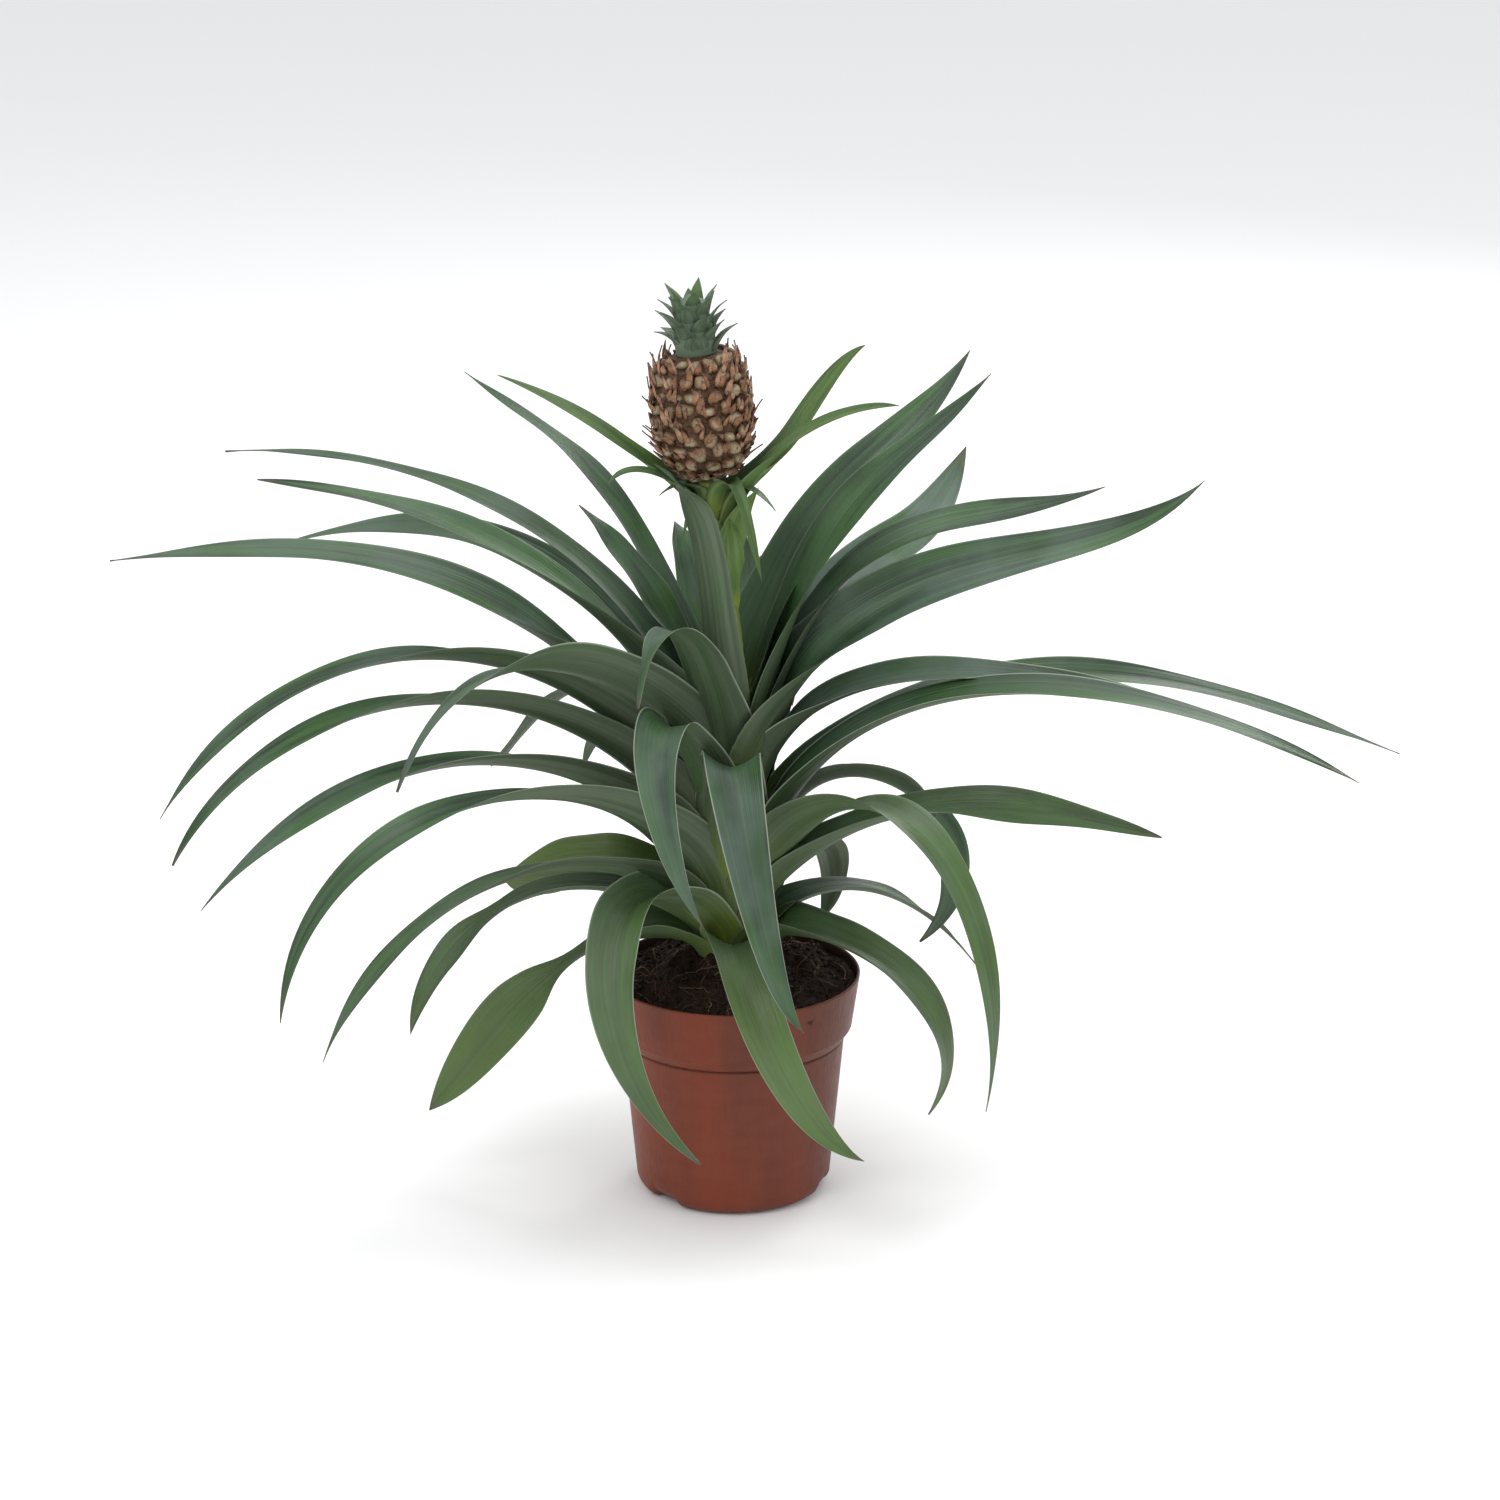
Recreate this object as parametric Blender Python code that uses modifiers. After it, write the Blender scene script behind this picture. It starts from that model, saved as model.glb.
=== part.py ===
"""Potted dwarf pineapple plant: a plastic nursery pot, its soil, a leafy rosette and one small fruit.

Metres, +Z up. The origin is the centre of the pot's flat underside and the front faces -Y.
"""
import math

import bmesh
import bpy
from mathutils import Matrix, Vector

MM = 0.001
GAP = 0.0004

# Pot: thin moulded plastic with a tapering collar, a step and a narrower body.
POT_HEIGHT = 0.107
POT_RIM_RADIUS = 0.0600
POT_COLLAR_FOOT_RADIUS = 0.0562
POT_COLLAR_HEIGHT = 0.0265
POT_BODY_TOP_RADIUS = 0.0526
POT_BODY_FOOT_RADIUS = 0.0462
POT_FOOT_ROUNDING = 0.007
POT_WALL = 0.0014
POT_FLOOR = 0.0018
DRAIN_SLOTS = 3
DRAIN_FIRST_ANGLE = -137.0
DRAIN_WIDTH = 0.017
DRAIN_HEIGHT = 0.0032
DRAIN_DEPTH = 0.010
ROUND_STEPS = 40

# Soil: fills the pot to just under the rim and rises in a mound round the stem.
SOIL_EDGE_HEIGHT = 0.103
SOIL_MOUND_HEIGHT = 0.117
SOIL_SOCKET_HEIGHT = 0.088

# Stem: height above the ground and radius, from its foot in the soil to the fruit, in millimetres.
STEM_PROFILE = ((88.4, 15.0), (118, 15.0), (150, 13.0), (200, 9.5), (245, 6.5), (290, 5.0), (345, 5.0))
LEAN_START = 0.250
LEAN_REACH = 0.0110
LEAN_HEIGHT = 0.095

# Fruit: an upright barrel on the end of the leaning stem.
FRUIT_HALF_HEIGHT = 0.0288
FRUIT_RADIUS = 0.0228
FRUIT_SQUARENESS = 2.5
FRUIT_EYE_RELIEF = 0.0011
FRUIT_EYE_COLUMNS = 8
FRUIT_EYE_ROWS = 9
FRUIT_TILT = math.radians(-5)

# Crown: a small rosette of pointed leaves in rising tiers on a short core.
CROWN_CORE_HEIGHT = 0.0240
CROWN_CORE_RADIUS = 0.0078
CROWN_TILT = math.radians(-7)
# Tier rows: leaves, first azimuth, foot height, tip reach, tip height and width, in millimetres.
CROWN_TIERS = (
    (6, 13, 2.5, 19.0, 11.5, 8.0),
    (6, 42, 7.5, 18.0, 20.5, 8.0),
    (5, 5, 13.0, 13.5, 28.5, 7.5),
    (3, 71, 19.0, 6.0, 33.5, 6.5),
)

# Leaves: sword-shaped blades, folded into a shallow channel, whose feet stand on the stem.
LEAF_THICKNESS = 0.0010
LEAF_ROWS = 14
LEAF_FOOT_SHARE = 0.42
LEAF_WIDEST = 0.42
LEAF_TAPER = 2.5
LEAF_TIP_WIDTH = 0.0012
LEAF_FOLD = math.radians(30)

# Each row: name, azimuth in degrees (0 right, 90 back, -90 front), foot height, then where the
# midline passes at a third, two thirds and the whole of its run, as (out, up) from the pot's axis,
# the blade's full width and the sideways sway of its tip. Lengths are in millimetres.
LEAVES = (
    ("leaf_left_01", 180, 122, (70, 115), (110, 80), (145, 35), 26, 0),
    ("leaf_left_02", 195, 128, (80, 155), (130, 135), (155, 90), 22, 0),
    ("leaf_left_03", 205, 138, (90, 170), (160, 150), (205, 95), 20, 0),
    ("leaf_left_04", 170, 134, (50, 155), (80, 155), (110, 145), 28, 0),
    ("leaf_left_05", 220, 144, (90, 210), (195, 215), (255, 145), 24, 0),
    ("leaf_left_06", 195, 158, (95, 215), (180, 210), (250, 160), 22, 0),
    ("leaf_left_07", 190, 168, (100, 240), (195, 235), (260, 175), 20, 0),
    ("leaf_left_08", 185, 178, (95, 255), (190, 255), (265, 190), 22, 0),
    ("leaf_left_09", 140, 166, (70, 230), (120, 210), (155, 175), 18, 0),
    ("leaf_left_10", 215, 196, (50, 250), (120, 275), (180, 230), 26, 0),
    ("leaf_left_11", 175, 192, (100, 275), (190, 305), (290, 300), 24, 0),
    ("leaf_left_12", 150, 196, (85, 280), (170, 300), (255, 280), 20, 0),
    ("leaf_left_13", 190, 212, (70, 290), (140, 335), (215, 355), 22, 0),
    ("leaf_left_14", 155, 200, (70, 290), (165, 330), (270, 330), 22, 0),
    ("leaf_left_15", 185, 230, (30, 275), (50, 310), (70, 335), 22, 0),
    ("leaf_left_16", 145, 220, (55, 310), (100, 350), (155, 375), 20, 0),
    ("leaf_right_01", -30, 124, (60, 130), (105, 105), (105, 55), 24, 0),
    ("leaf_right_02", 20, 128, (60, 140), (100, 120), (130, 85), 14, 0),
    ("leaf_right_03", 60, 132, (70, 150), (95, 130), (85, 105), 20, 0),
    ("leaf_right_04", -10, 142, (70, 185), (135, 195), (200, 185), 24, 0),
    ("leaf_right_05", -40, 150, (85, 205), (140, 165), (150, 75), 26, 0),
    ("leaf_right_06", 10, 152, (55, 200), (100, 170), (90, 115), 20, 0),
    ("leaf_right_07", -15, 160, (80, 240), (185, 255), (290, 225), 24, 0),
    ("leaf_right_08", 20, 178, (120, 235), (240, 220), (350, 175), 16, 0),
    ("leaf_right_09", -5, 186, (60, 250), (150, 255), (235, 235), 24, 0),
    ("leaf_right_10", 0, 196, (65, 285), (145, 315), (215, 345), 26, 0),
    ("leaf_right_11", 15, 206, (55, 295), (115, 320), (180, 330), 20, 0),
    ("leaf_right_12", 55, 190, (80, 270), (140, 285), (200, 320), 26, 0),
    ("leaf_right_13", 10, 210, (40, 305), (75, 350), (120, 390), 24, 0),
    ("leaf_right_14", 45, 236, (50, 310), (105, 345), (160, 380), 20, 0),
    ("leaf_front_01", -90, 124, (65, 125), (90, 85), (95, 50), 24, 60),
    ("leaf_front_02", -135, 130, (75, 165), (100, 120), (80, 50), 24, 60),
    ("leaf_front_03", -95, 148, (50, 225), (80, 175), (85, 110), 26, 40),
    ("leaf_front_04", -130, 178, (60, 250), (85, 225), (85, 165), 22, 55),
    ("leaf_front_05", -120, 206, (35, 270), (70, 290), (100, 265), 20, 10),
    ("leaf_front_06", -105, 226, (30, 305), (45, 345), (75, 370), 18, -15),
    ("leaf_back_01", 100, 124, (55, 150), (95, 140), (120, 105), 24, 0),
    ("leaf_back_02", 95, 140, (60, 185), (115, 185), (160, 140), 24, 0),
    ("leaf_back_03", 120, 150, (60, 195), (110, 200), (150, 165), 22, 0),
    ("leaf_back_04", 80, 158, (60, 205), (115, 215), (170, 185), 24, 0),
    ("leaf_back_05", 110, 180, (60, 230), (110, 245), (160, 230), 24, 0),
    ("leaf_back_06", 90, 186, (55, 240), (105, 255), (155, 240), 24, 0),
    ("leaf_back_07", 80, 204, (40, 255), (70, 280), (100, 285), 20, -5),
    ("leaf_back_08", 80, 220, (30, 260), (45, 280), (60, 305), 20, 5),
    ("leaf_back_09", 115, 242, (35, 270), (50, 295), (65, 310), 18, 0),
)

# Bracts: narrow leaves on the stalk just under the fruit. Their rows read as the leaves' rows do,
# with every distance measured from the stalk instead of from the pot's axis.
BRACT_THICKNESS = 0.0008
BRACTS = (
    ("bract_left_long", 170, 330, (35, 355), (65, 375), (100, 390), 7, 0),
    ("bract_left_short", 210, 326, (20, 345), (40, 355), (55, 350), 6, 0),
    ("bract_right_long", 10, 332, (30, 355), (50, 385), (70, 405), 9, 0),
    ("bract_right_arched", -15, 322, (30, 360), (60, 380), (85, 385), 7, 0),
    ("bract_front_hanging", -50, 334, (15, 345), (25, 330), (35, 305), 6, 0),
    ("bract_back", 95, 328, (25, 350), (40, 365), (55, 385), 8, 0),
)

PLASTIC = ("terracotta_plastic", (0.195, 0.054, 0.034), 0.45)
SOIL = ("peat_soil", (0.026, 0.013, 0.009), 0.95)
STALK = ("stalk_green", (0.16, 0.24, 0.06), 0.55)
RIND = ("fruit_rind", (0.26, 0.12, 0.06), 0.65)
CROWN_GREEN = ("crown_green", (0.05, 0.15, 0.08), 0.50)
LEAF_GREEN = ("leaf_green", (0.035, 0.090, 0.038), 0.42)
BRACT_GREEN = ("bract_green", (0.10, 0.24, 0.04), 0.45)


def clear_scene():
    for thing in list(bpy.data.objects):
        bpy.data.objects.remove(thing, do_unlink=True)


def make_collection(name):
    group = bpy.data.collections.new(name)
    bpy.context.scene.collection.children.link(group)
    return group


def make_material(node_name, look):
    label, colour, roughness = look
    material = bpy.data.materials.new(f"{node_name}_{label}")
    material.use_nodes = True
    shader = material.node_tree.nodes["Principled BSDF"]
    shader.inputs["Base Color"].default_value = (*colour, 1.0)
    shader.inputs["Roughness"].default_value = roughness
    shader.inputs["Metallic"].default_value = 0.0
    return material


def add_object(name, data, group, look=None):
    thing = bpy.data.objects.new(name, data)
    group.objects.link(thing)
    if look:
        data.materials.append(make_material(name, look))
    return thing


def as_guide(thing):
    thing.hide_render = True
    thing.display_type = "WIRE"


def turned(name, profile, group, look):
    """Profile of (radius, height) points, listed down its outer side, turned about Z."""
    shape = bmesh.new()
    ring = [shape.verts.new((radius, 0.0, height)) for radius, height in profile]
    for upper, lower in zip(ring, ring[1:]):
        shape.edges.new((upper, lower))
    mesh = bpy.data.meshes.new(name)
    shape.to_mesh(mesh)
    shape.free()
    thing = add_object(name, mesh, group, look)
    screw = thing.modifiers.new("turn", "SCREW")
    screw.steps = ROUND_STEPS
    screw.render_steps = ROUND_STEPS
    screw.use_merge_vertices = True
    screw.merge_threshold = 0.00005
    screw.use_smooth_shade = True
    return thing


def arc_points(centre, radius, start, stop, steps):
    """Points of an arc in the profile plane, by its centre, radius and angles in degrees."""
    angles = [math.radians(start + (stop - start) * step / steps) for step in range(steps + 1)]
    return [(centre[0] + radius * math.cos(a), centre[1] + radius * math.sin(a)) for a in angles]


def pot_wall_radius(height):
    """Outer radius of the pot's body, which tapers straight from its step to its foot."""
    step_height = POT_HEIGHT - POT_COLLAR_HEIGHT
    share = height / step_height
    return POT_BODY_FOOT_RADIUS + (POT_BODY_TOP_RADIUS - POT_BODY_FOOT_RADIUS) * share


def make_pot(group, cutters):
    step_height = POT_HEIGHT - POT_COLLAR_HEIGHT
    lip_drop = POT_WALL
    foot_centre = (POT_BODY_FOOT_RADIUS - POT_FOOT_ROUNDING, POT_FOOT_ROUNDING)
    inner_foot_radius = foot_centre[0] + POT_FOOT_ROUNDING - POT_WALL
    inside = [
        (0.0, POT_FLOOR),
        (foot_centre[0], POT_FLOOR),
        (inner_foot_radius, POT_FOOT_ROUNDING),
        (POT_BODY_TOP_RADIUS - POT_WALL, step_height - 0.003),
        (POT_COLLAR_FOOT_RADIUS - POT_WALL, step_height + 0.002),
        (POT_RIM_RADIUS - POT_WALL, POT_HEIGHT - lip_drop / 2),
    ]
    outside = [
        (POT_RIM_RADIUS - POT_WALL / 2, POT_HEIGHT),
        (POT_RIM_RADIUS, POT_HEIGHT - lip_drop / 2),
        (POT_COLLAR_FOOT_RADIUS, step_height + 0.0006),
        (POT_COLLAR_FOOT_RADIUS - 0.0006, step_height),
        (POT_BODY_TOP_RADIUS, step_height - 0.0045),
    ]
    foot = arc_points(foot_centre, POT_FOOT_ROUNDING, 0, -90, 4)
    pot = turned("pot", inside + outside + foot + [(0.0, 0.0)], group, PLASTIC)
    for number in range(DRAIN_SLOTS):
        angle = math.radians(DRAIN_FIRST_ANGLE + number * 360 / DRAIN_SLOTS)
        bpy.ops.mesh.primitive_cube_add(size=1)
        slot = bpy.context.object
        slot.name = f"drain_cutter_{number + 1}"
        slot.data.transform(Matrix.Diagonal((2 * DRAIN_DEPTH, DRAIN_WIDTH, 2 * DRAIN_HEIGHT, 1)))
        slot.location = (POT_BODY_FOOT_RADIUS * math.cos(angle), POT_BODY_FOOT_RADIUS * math.sin(angle), 0)
        slot.rotation_euler.z = angle
        for owner in list(slot.users_collection):
            owner.objects.unlink(slot)
        cutters.objects.link(slot)
        as_guide(slot)
        cut = pot.modifiers.new(f"drain_{number + 1}", "BOOLEAN")
        cut.operation = "DIFFERENCE"
        cut.object = slot


def make_soil(group):
    step_height = POT_HEIGHT - POT_COLLAR_HEIGHT
    socket_radius = stem_radius(SOIL_EDGE_HEIGHT) + GAP
    wall = POT_WALL + GAP
    collar_share = (SOIL_EDGE_HEIGHT - step_height) / POT_COLLAR_HEIGHT
    edge_radius = POT_COLLAR_FOOT_RADIUS + (POT_RIM_RADIUS - POT_COLLAR_FOOT_RADIUS) * collar_share - wall
    profile = [
        (0.0, SOIL_SOCKET_HEIGHT),
        (socket_radius, SOIL_SOCKET_HEIGHT),
        (socket_radius, SOIL_MOUND_HEIGHT - 0.0005),
        (socket_radius + 0.002, SOIL_MOUND_HEIGHT),
        (0.032, 0.1100),
        (0.048, 0.1030),
        (edge_radius, SOIL_EDGE_HEIGHT),
        (POT_COLLAR_FOOT_RADIUS - wall, step_height + 0.003),
        (POT_BODY_TOP_RADIUS - wall, step_height - 0.003),
        (pot_wall_radius(0.012) - wall - 0.0006, 0.012),
        (POT_BODY_FOOT_RADIUS - 0.0100, DRAIN_HEIGHT + GAP),
        (0.0, DRAIN_HEIGHT + GAP),
    ]
    turned("soil", profile, group, SOIL)


def stem_radius(height):
    """Stem radius at a height, read along the straight stretches of its profile."""
    here = height / MM
    for (low, low_radius), (high, high_radius) in zip(STEM_PROFILE, STEM_PROFILE[1:]):
        if here <= high:
            share = max(0.0, (here - low) / (high - low))
            return (low_radius + (high_radius - low_radius) * share) * MM
    return STEM_PROFILE[-1][1] * MM


def stem_axis(height):
    """Sideways place of the stem's axis: upright at first, then bending left under the fruit."""
    rise = max(0.0, height - LEAN_START) / LEAN_HEIGHT
    return -LEAN_REACH * rise ** 1.5


def make_stem(group):
    curve = bpy.data.curves.new("stem", "CURVE")
    curve.dimensions = "3D"
    curve.bevel_depth = 1.0
    curve.bevel_resolution = 4
    curve.use_fill_caps = True
    heights = [height * MM for height, radius in STEM_PROFILE] + [0.270, 0.305, 0.320, 0.333]
    heights.sort()
    spline = curve.splines.new("POLY")
    spline.points.add(len(heights) - 1)
    for point, height in zip(spline.points, heights):
        point.co = (stem_axis(height), 0.0, height, 1.0)
        point.radius = stem_radius(height)
    return add_object("stem", curve, group, STALK)


def fruit_place():
    foot = Vector((stem_axis(STEM_PROFILE[-1][0] * MM), 0.0, STEM_PROFILE[-1][0] * MM + 0.0006))
    return foot + Matrix.Rotation(FRUIT_TILT, 3, "Y") @ Vector((0, 0, FRUIT_HALF_HEIGHT))


def make_fruit(group):
    """Sphere drawn into a barrel, with diamond eyes where two sets of spiral ridges cross."""
    shape = bmesh.new()
    bmesh.ops.create_uvsphere(shape, u_segments=32, v_segments=24, radius=1.0)
    for vertex in shape.verts:
        polar = math.acos(max(-1.0, min(1.0, vertex.co.z)))
        around = math.atan2(vertex.co.y, vertex.co.x)
        level = 1 - 2 * polar / math.pi
        girth = (1 - abs(level) ** FRUIT_SQUARENESS) ** (1 / FRUIT_SQUARENESS)
        turn = FRUIT_EYE_ROWS * math.pi * level / 2
        eye = math.cos(FRUIT_EYE_COLUMNS * around / 2 + turn) * math.cos(FRUIT_EYE_COLUMNS * around / 2 - turn)
        radius = FRUIT_RADIUS * girth + FRUIT_EYE_RELIEF * eye * min(1.0, 2 * girth) * (girth > 0.2)
        vertex.co = (radius * math.cos(around), radius * math.sin(around), FRUIT_HALF_HEIGHT * level)
    mesh = bpy.data.meshes.new("fruit")
    shape.to_mesh(mesh)
    shape.free()
    mesh.shade_smooth()
    fruit = add_object("fruit", mesh, group, RIND)
    fruit.location = fruit_place()
    fruit.rotation_euler.y = FRUIT_TILT


def blade_mesh(name, axis, azimuth, foot, passes, width, sway, rows, fold):
    """Flat grid carried along a cubic curve that runs through four places at equal steps.

    The width grows from the foot to its widest place and tapers to the tip. Both halves rise from
    the midline, so that the blade is a channel, and the whole tip drifts sideways with the square
    of the run.
    """
    outward = Vector((math.cos(azimuth), math.sin(azimuth), 0))
    across = Vector((-math.sin(azimuth), math.cos(azimuth), 0))
    places = [foot] + passes

    def midline(t):
        weights = (
            -4.5 * (t - 1 / 3) * (t - 2 / 3) * (t - 1),
            13.5 * t * (t - 2 / 3) * (t - 1),
            -13.5 * t * (t - 1 / 3) * (t - 1),
            4.5 * t * (t - 1 / 3) * (t - 2 / 3),
        )
        out = sum(weight * place[0] for weight, place in zip(weights, places))
        up = sum(weight * place[1] for weight, place in zip(weights, places))
        return Vector((axis, 0, up)) + outward * out + across * sway * t * t

    shape = bmesh.new()
    bmesh.ops.create_grid(shape, x_segments=rows, y_segments=2, size=1.0)
    for vertex in shape.verts:
        t = (vertex.co.x + 1) / 2
        side = vertex.co.y
        along = (midline(t + 0.01) - midline(t - 0.01)).normalized()
        sideways = (across - along * across.dot(along)).normalized()
        upper = along.cross(sideways)
        growth = LEAF_FOOT_SHARE + (1 - LEAF_FOOT_SHARE) * math.sin(math.pi / 2 * min(1.0, t / LEAF_WIDEST))
        half = max(width * growth * (1 - t ** LEAF_TAPER), LEAF_TIP_WIDTH) / 2
        rise = fold * (0.35 + 0.65 * math.sin(math.pi * t ** 0.7))
        place = midline(t) + sideways * side * half * math.cos(rise) + upper * abs(side) * half * math.sin(rise)
        vertex.co = place
    mesh = bpy.data.meshes.new(name)
    shape.to_mesh(mesh)
    shape.free()
    mesh.shade_smooth()
    return mesh


def thicken(thing, thickness):
    solidify = thing.modifiers.new("thickness", "SOLIDIFY")
    solidify.thickness = thickness
    solidify.offset = 0.0


def make_blades(rows, thickness, steps, group, look, on_stalk):
    for name, azimuth, foot_height, third, two_thirds, tip, width, sway in rows:
        height = foot_height * MM
        axis = stem_axis(height) if on_stalk else 0.0
        foot = (stem_radius(height) + GAP + thickness, height)
        passes = [(out * MM, up * MM) for out, up in (third, two_thirds, tip)]
        mesh = blade_mesh(
            name, axis, math.radians(azimuth), foot, passes, width * MM, sway * MM, steps, LEAF_FOLD)
        thicken(add_object(name, mesh, group, look), thickness)


def make_crown(group, cutters):
    """Cone-shaped core with tiers of short pointed leaves, joined into one body."""
    fruit_top = fruit_place() + Matrix.Rotation(FRUIT_TILT, 3, "Y") @ Vector((0, 0, FRUIT_HALF_HEIGHT))
    place = fruit_top + Vector((0, 0, 0.0009))
    shape = bmesh.new()
    bmesh.ops.create_cone(
        shape, cap_ends=True, segments=16, radius1=CROWN_CORE_RADIUS, radius2=CROWN_CORE_RADIUS / 3,
        depth=CROWN_CORE_HEIGHT)
    bmesh.ops.translate(shape, verts=shape.verts, vec=(0, 0, CROWN_CORE_HEIGHT / 2))
    mesh = bpy.data.meshes.new("crown")
    shape.to_mesh(mesh)
    shape.free()
    crown = add_object("crown", mesh, group, CROWN_GREEN)
    crown.location = place
    crown.rotation_euler.y = CROWN_TILT
    for tier, (count, first, foot_height, reach, tip_height, width) in enumerate(CROWN_TIERS):
        for number in range(count):
            name = f"crown_leaf_{tier + 1}_{number + 1}"
            azimuth = math.radians(first + number * 360 / count)
            foot = (0.0024, foot_height * MM)
            climb = tip_height - foot_height
            passes = [
                (reach * 0.50 * MM, (foot_height + climb * 0.25) * MM),
                (reach * 0.82 * MM, (foot_height + climb * 0.58) * MM),
                (reach * MM, tip_height * MM),
            ]
            blade = blade_mesh(name, 0.0, azimuth, foot, passes, width * MM, 0.0, 4, LEAF_FOLD)
            leaf = add_object(name, blade, cutters)
            leaf.location = place
            leaf.rotation_euler.y = CROWN_TILT
            thicken(leaf, 0.0011)
            as_guide(leaf)
            union = crown.modifiers.new(name, "BOOLEAN")
            union.operation = "UNION"
            union.object = leaf


def main():
    clear_scene()
    parts = make_collection("potted_pineapple_plant")
    cutters = make_collection("cutters")
    make_pot(parts, cutters)
    make_soil(parts)
    make_stem(parts)
    make_blades(LEAVES, LEAF_THICKNESS, LEAF_ROWS, parts, LEAF_GREEN, False)
    make_blades(BRACTS, BRACT_THICKNESS, 8, parts, BRACT_GREEN, True)
    make_fruit(parts)
    make_crown(parts, cutters)


main()
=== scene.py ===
import math
import bmesh
import bpy
import numpy as np
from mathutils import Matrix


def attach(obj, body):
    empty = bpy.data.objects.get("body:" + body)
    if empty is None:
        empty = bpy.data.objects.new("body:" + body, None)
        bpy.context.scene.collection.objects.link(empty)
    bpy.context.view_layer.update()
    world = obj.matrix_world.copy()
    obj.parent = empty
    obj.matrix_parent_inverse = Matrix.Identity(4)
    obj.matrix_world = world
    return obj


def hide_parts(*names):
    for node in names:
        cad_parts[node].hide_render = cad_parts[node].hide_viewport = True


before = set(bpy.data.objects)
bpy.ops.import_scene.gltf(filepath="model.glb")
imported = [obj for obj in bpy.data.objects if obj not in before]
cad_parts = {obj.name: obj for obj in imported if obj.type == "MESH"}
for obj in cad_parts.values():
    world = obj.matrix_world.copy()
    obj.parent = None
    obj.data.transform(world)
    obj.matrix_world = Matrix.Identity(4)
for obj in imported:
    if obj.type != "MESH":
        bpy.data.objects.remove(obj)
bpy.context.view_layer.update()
mm = 0.001
print("frame:", len(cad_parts), "nodes")


def tint(red, green, blue):
    # screen values from 0 to 255 turned into the light values that shaders take: divided by 12.92 where dark,
    # and otherwise a power of 2.4
    value = np.array([red, green, blue]) / 255
    light = np.where(value <= 0.04045, value / 12.92, ((value + 0.055) / 1.055) ** 2.4)
    return (*light.tolist(), 1.0)


def smoothStep(low, high, value):
    # 0 below low, 1 above high, and an S-shaped cubic between them
    share = np.clip((value - low) / (high - low), 0, 1)
    return share * share * (3 - 2 * share)


def unit(vectors):
    # each vector divided by its length
    return vectors / np.maximum(np.linalg.norm(vectors, axis=-1, keepdims=True), 1e-12)


def roundFrame(angle):
    # at each angle, the level directions straight out from the axis and round it
    out = np.stack([np.cos(angle), np.sin(angle), np.zeros_like(angle)], axis=-1)
    return out, np.stack([-out[..., 1], out[..., 0], out[..., 2]], axis=-1)


def gridFaces(rows, columns, copies=1):
    # one face from each point to the next across and the next row, the last column joined to the first
    row = (np.arange(rows - 1) * columns)[:, None]
    here = np.arange(columns)[None, :]
    after = (here + 1) % columns
    faces = np.stack([row + here, row + after, row + columns + after, row + columns + here], axis=-1)
    shift = np.arange(copies)[:, None, None] * rows * columns
    return (faces.reshape(1, -1, 4) + shift).reshape(-1, 4)


def makePiece(name, points, faces, material, node=None, uv=None, marks=None):
    # the arrays become one mesh, whose doubled points are merged and whose shells face outwards
    mesh = bpy.data.meshes.new(name)
    mesh.from_pydata(points.reshape(-1, 3).tolist(), [], faces.tolist())
    if uv is not None:
        layer = mesh.uv_layers.new(name="blade")
        layer.data.foreach_set("uv", uv.reshape(-1, 2)[faces.ravel()].astype(np.float32).ravel())
    for label, values in (marks or {}).items():
        store = mesh.attributes.new(label, "FLOAT", "POINT")
        store.data.foreach_set("value", np.ascontiguousarray(values, dtype=np.float32).ravel())
    shape = bmesh.new()
    shape.from_mesh(mesh)
    bmesh.ops.remove_doubles(shape, verts=shape.verts, dist=0.000004)
    bmesh.ops.recalc_face_normals(shape, faces=shape.faces)
    shape.to_mesh(mesh)
    shape.free()
    mesh.shade_smooth()
    mesh.materials.append(material)
    piece = bpy.data.objects.new(name, mesh)
    bpy.context.scene.collection.objects.link(piece)
    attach(piece, "root")
    if node:
        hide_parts(node)
    return piece


def put(tree, kind, settings=None, inputs=None):
    # one node, with its settings made and each input either set or linked from an output
    node = tree.nodes.new("ShaderNode" + kind)
    for key, value in (settings or {}).items():
        setattr(node, key, value)
    for key, value in (inputs or {}).items():
        if isinstance(value, bpy.types.NodeSocket):
            tree.links.new(value, node.inputs[key])
        else:
            node.inputs[key].default_value = value
    return node


def calc(tree, operation, first, second=0.0, third=0.0):
    node = put(tree, "Math", {"operation": operation}, {0: first, 1: second, 2: third})
    return node.outputs[0]


def times(tree, first, second):
    return calc(tree, "MULTIPLY", first, second)


def blendColour(tree, share, first, second, kind="MIX"):
    settings = {"data_type": "RGBA", "blend_type": kind}
    return put(tree, "Mix", settings, {0: share, 6: first, 7: second}).outputs[2]


def ease(tree, value, low, high, start=0.0, end=1.0):
    # value carried smoothly from the range low..high to start..end
    inputs = {0: value, 1: low, 2: high, 3: start, 4: end}
    return put(tree, "MapRange", {"interpolation_type": "SMOOTHSTEP"}, inputs).outputs[0]


def mark(tree, label):
    return put(tree, "Attribute", {"attribute_name": label}).outputs["Fac"]


def newGroup(name, inputs, outputs):
    group = bpy.data.node_groups.new(name, "ShaderNodeTree")
    for label, kind, value in inputs:
        socket = group.interface.new_socket(name=label, in_out="INPUT", socket_type=kind)
        socket.default_value = value
    for label in outputs:
        group.interface.new_socket(name=label, in_out="OUTPUT", socket_type="NodeSocketFloat")
    return group, group.nodes.new("NodeGroupInput"), group.nodes.new("NodeGroupOutput")


def useGroup(tree, group, inputs):
    return put(tree, "Group", {"node_tree": group}, inputs).outputs


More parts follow.
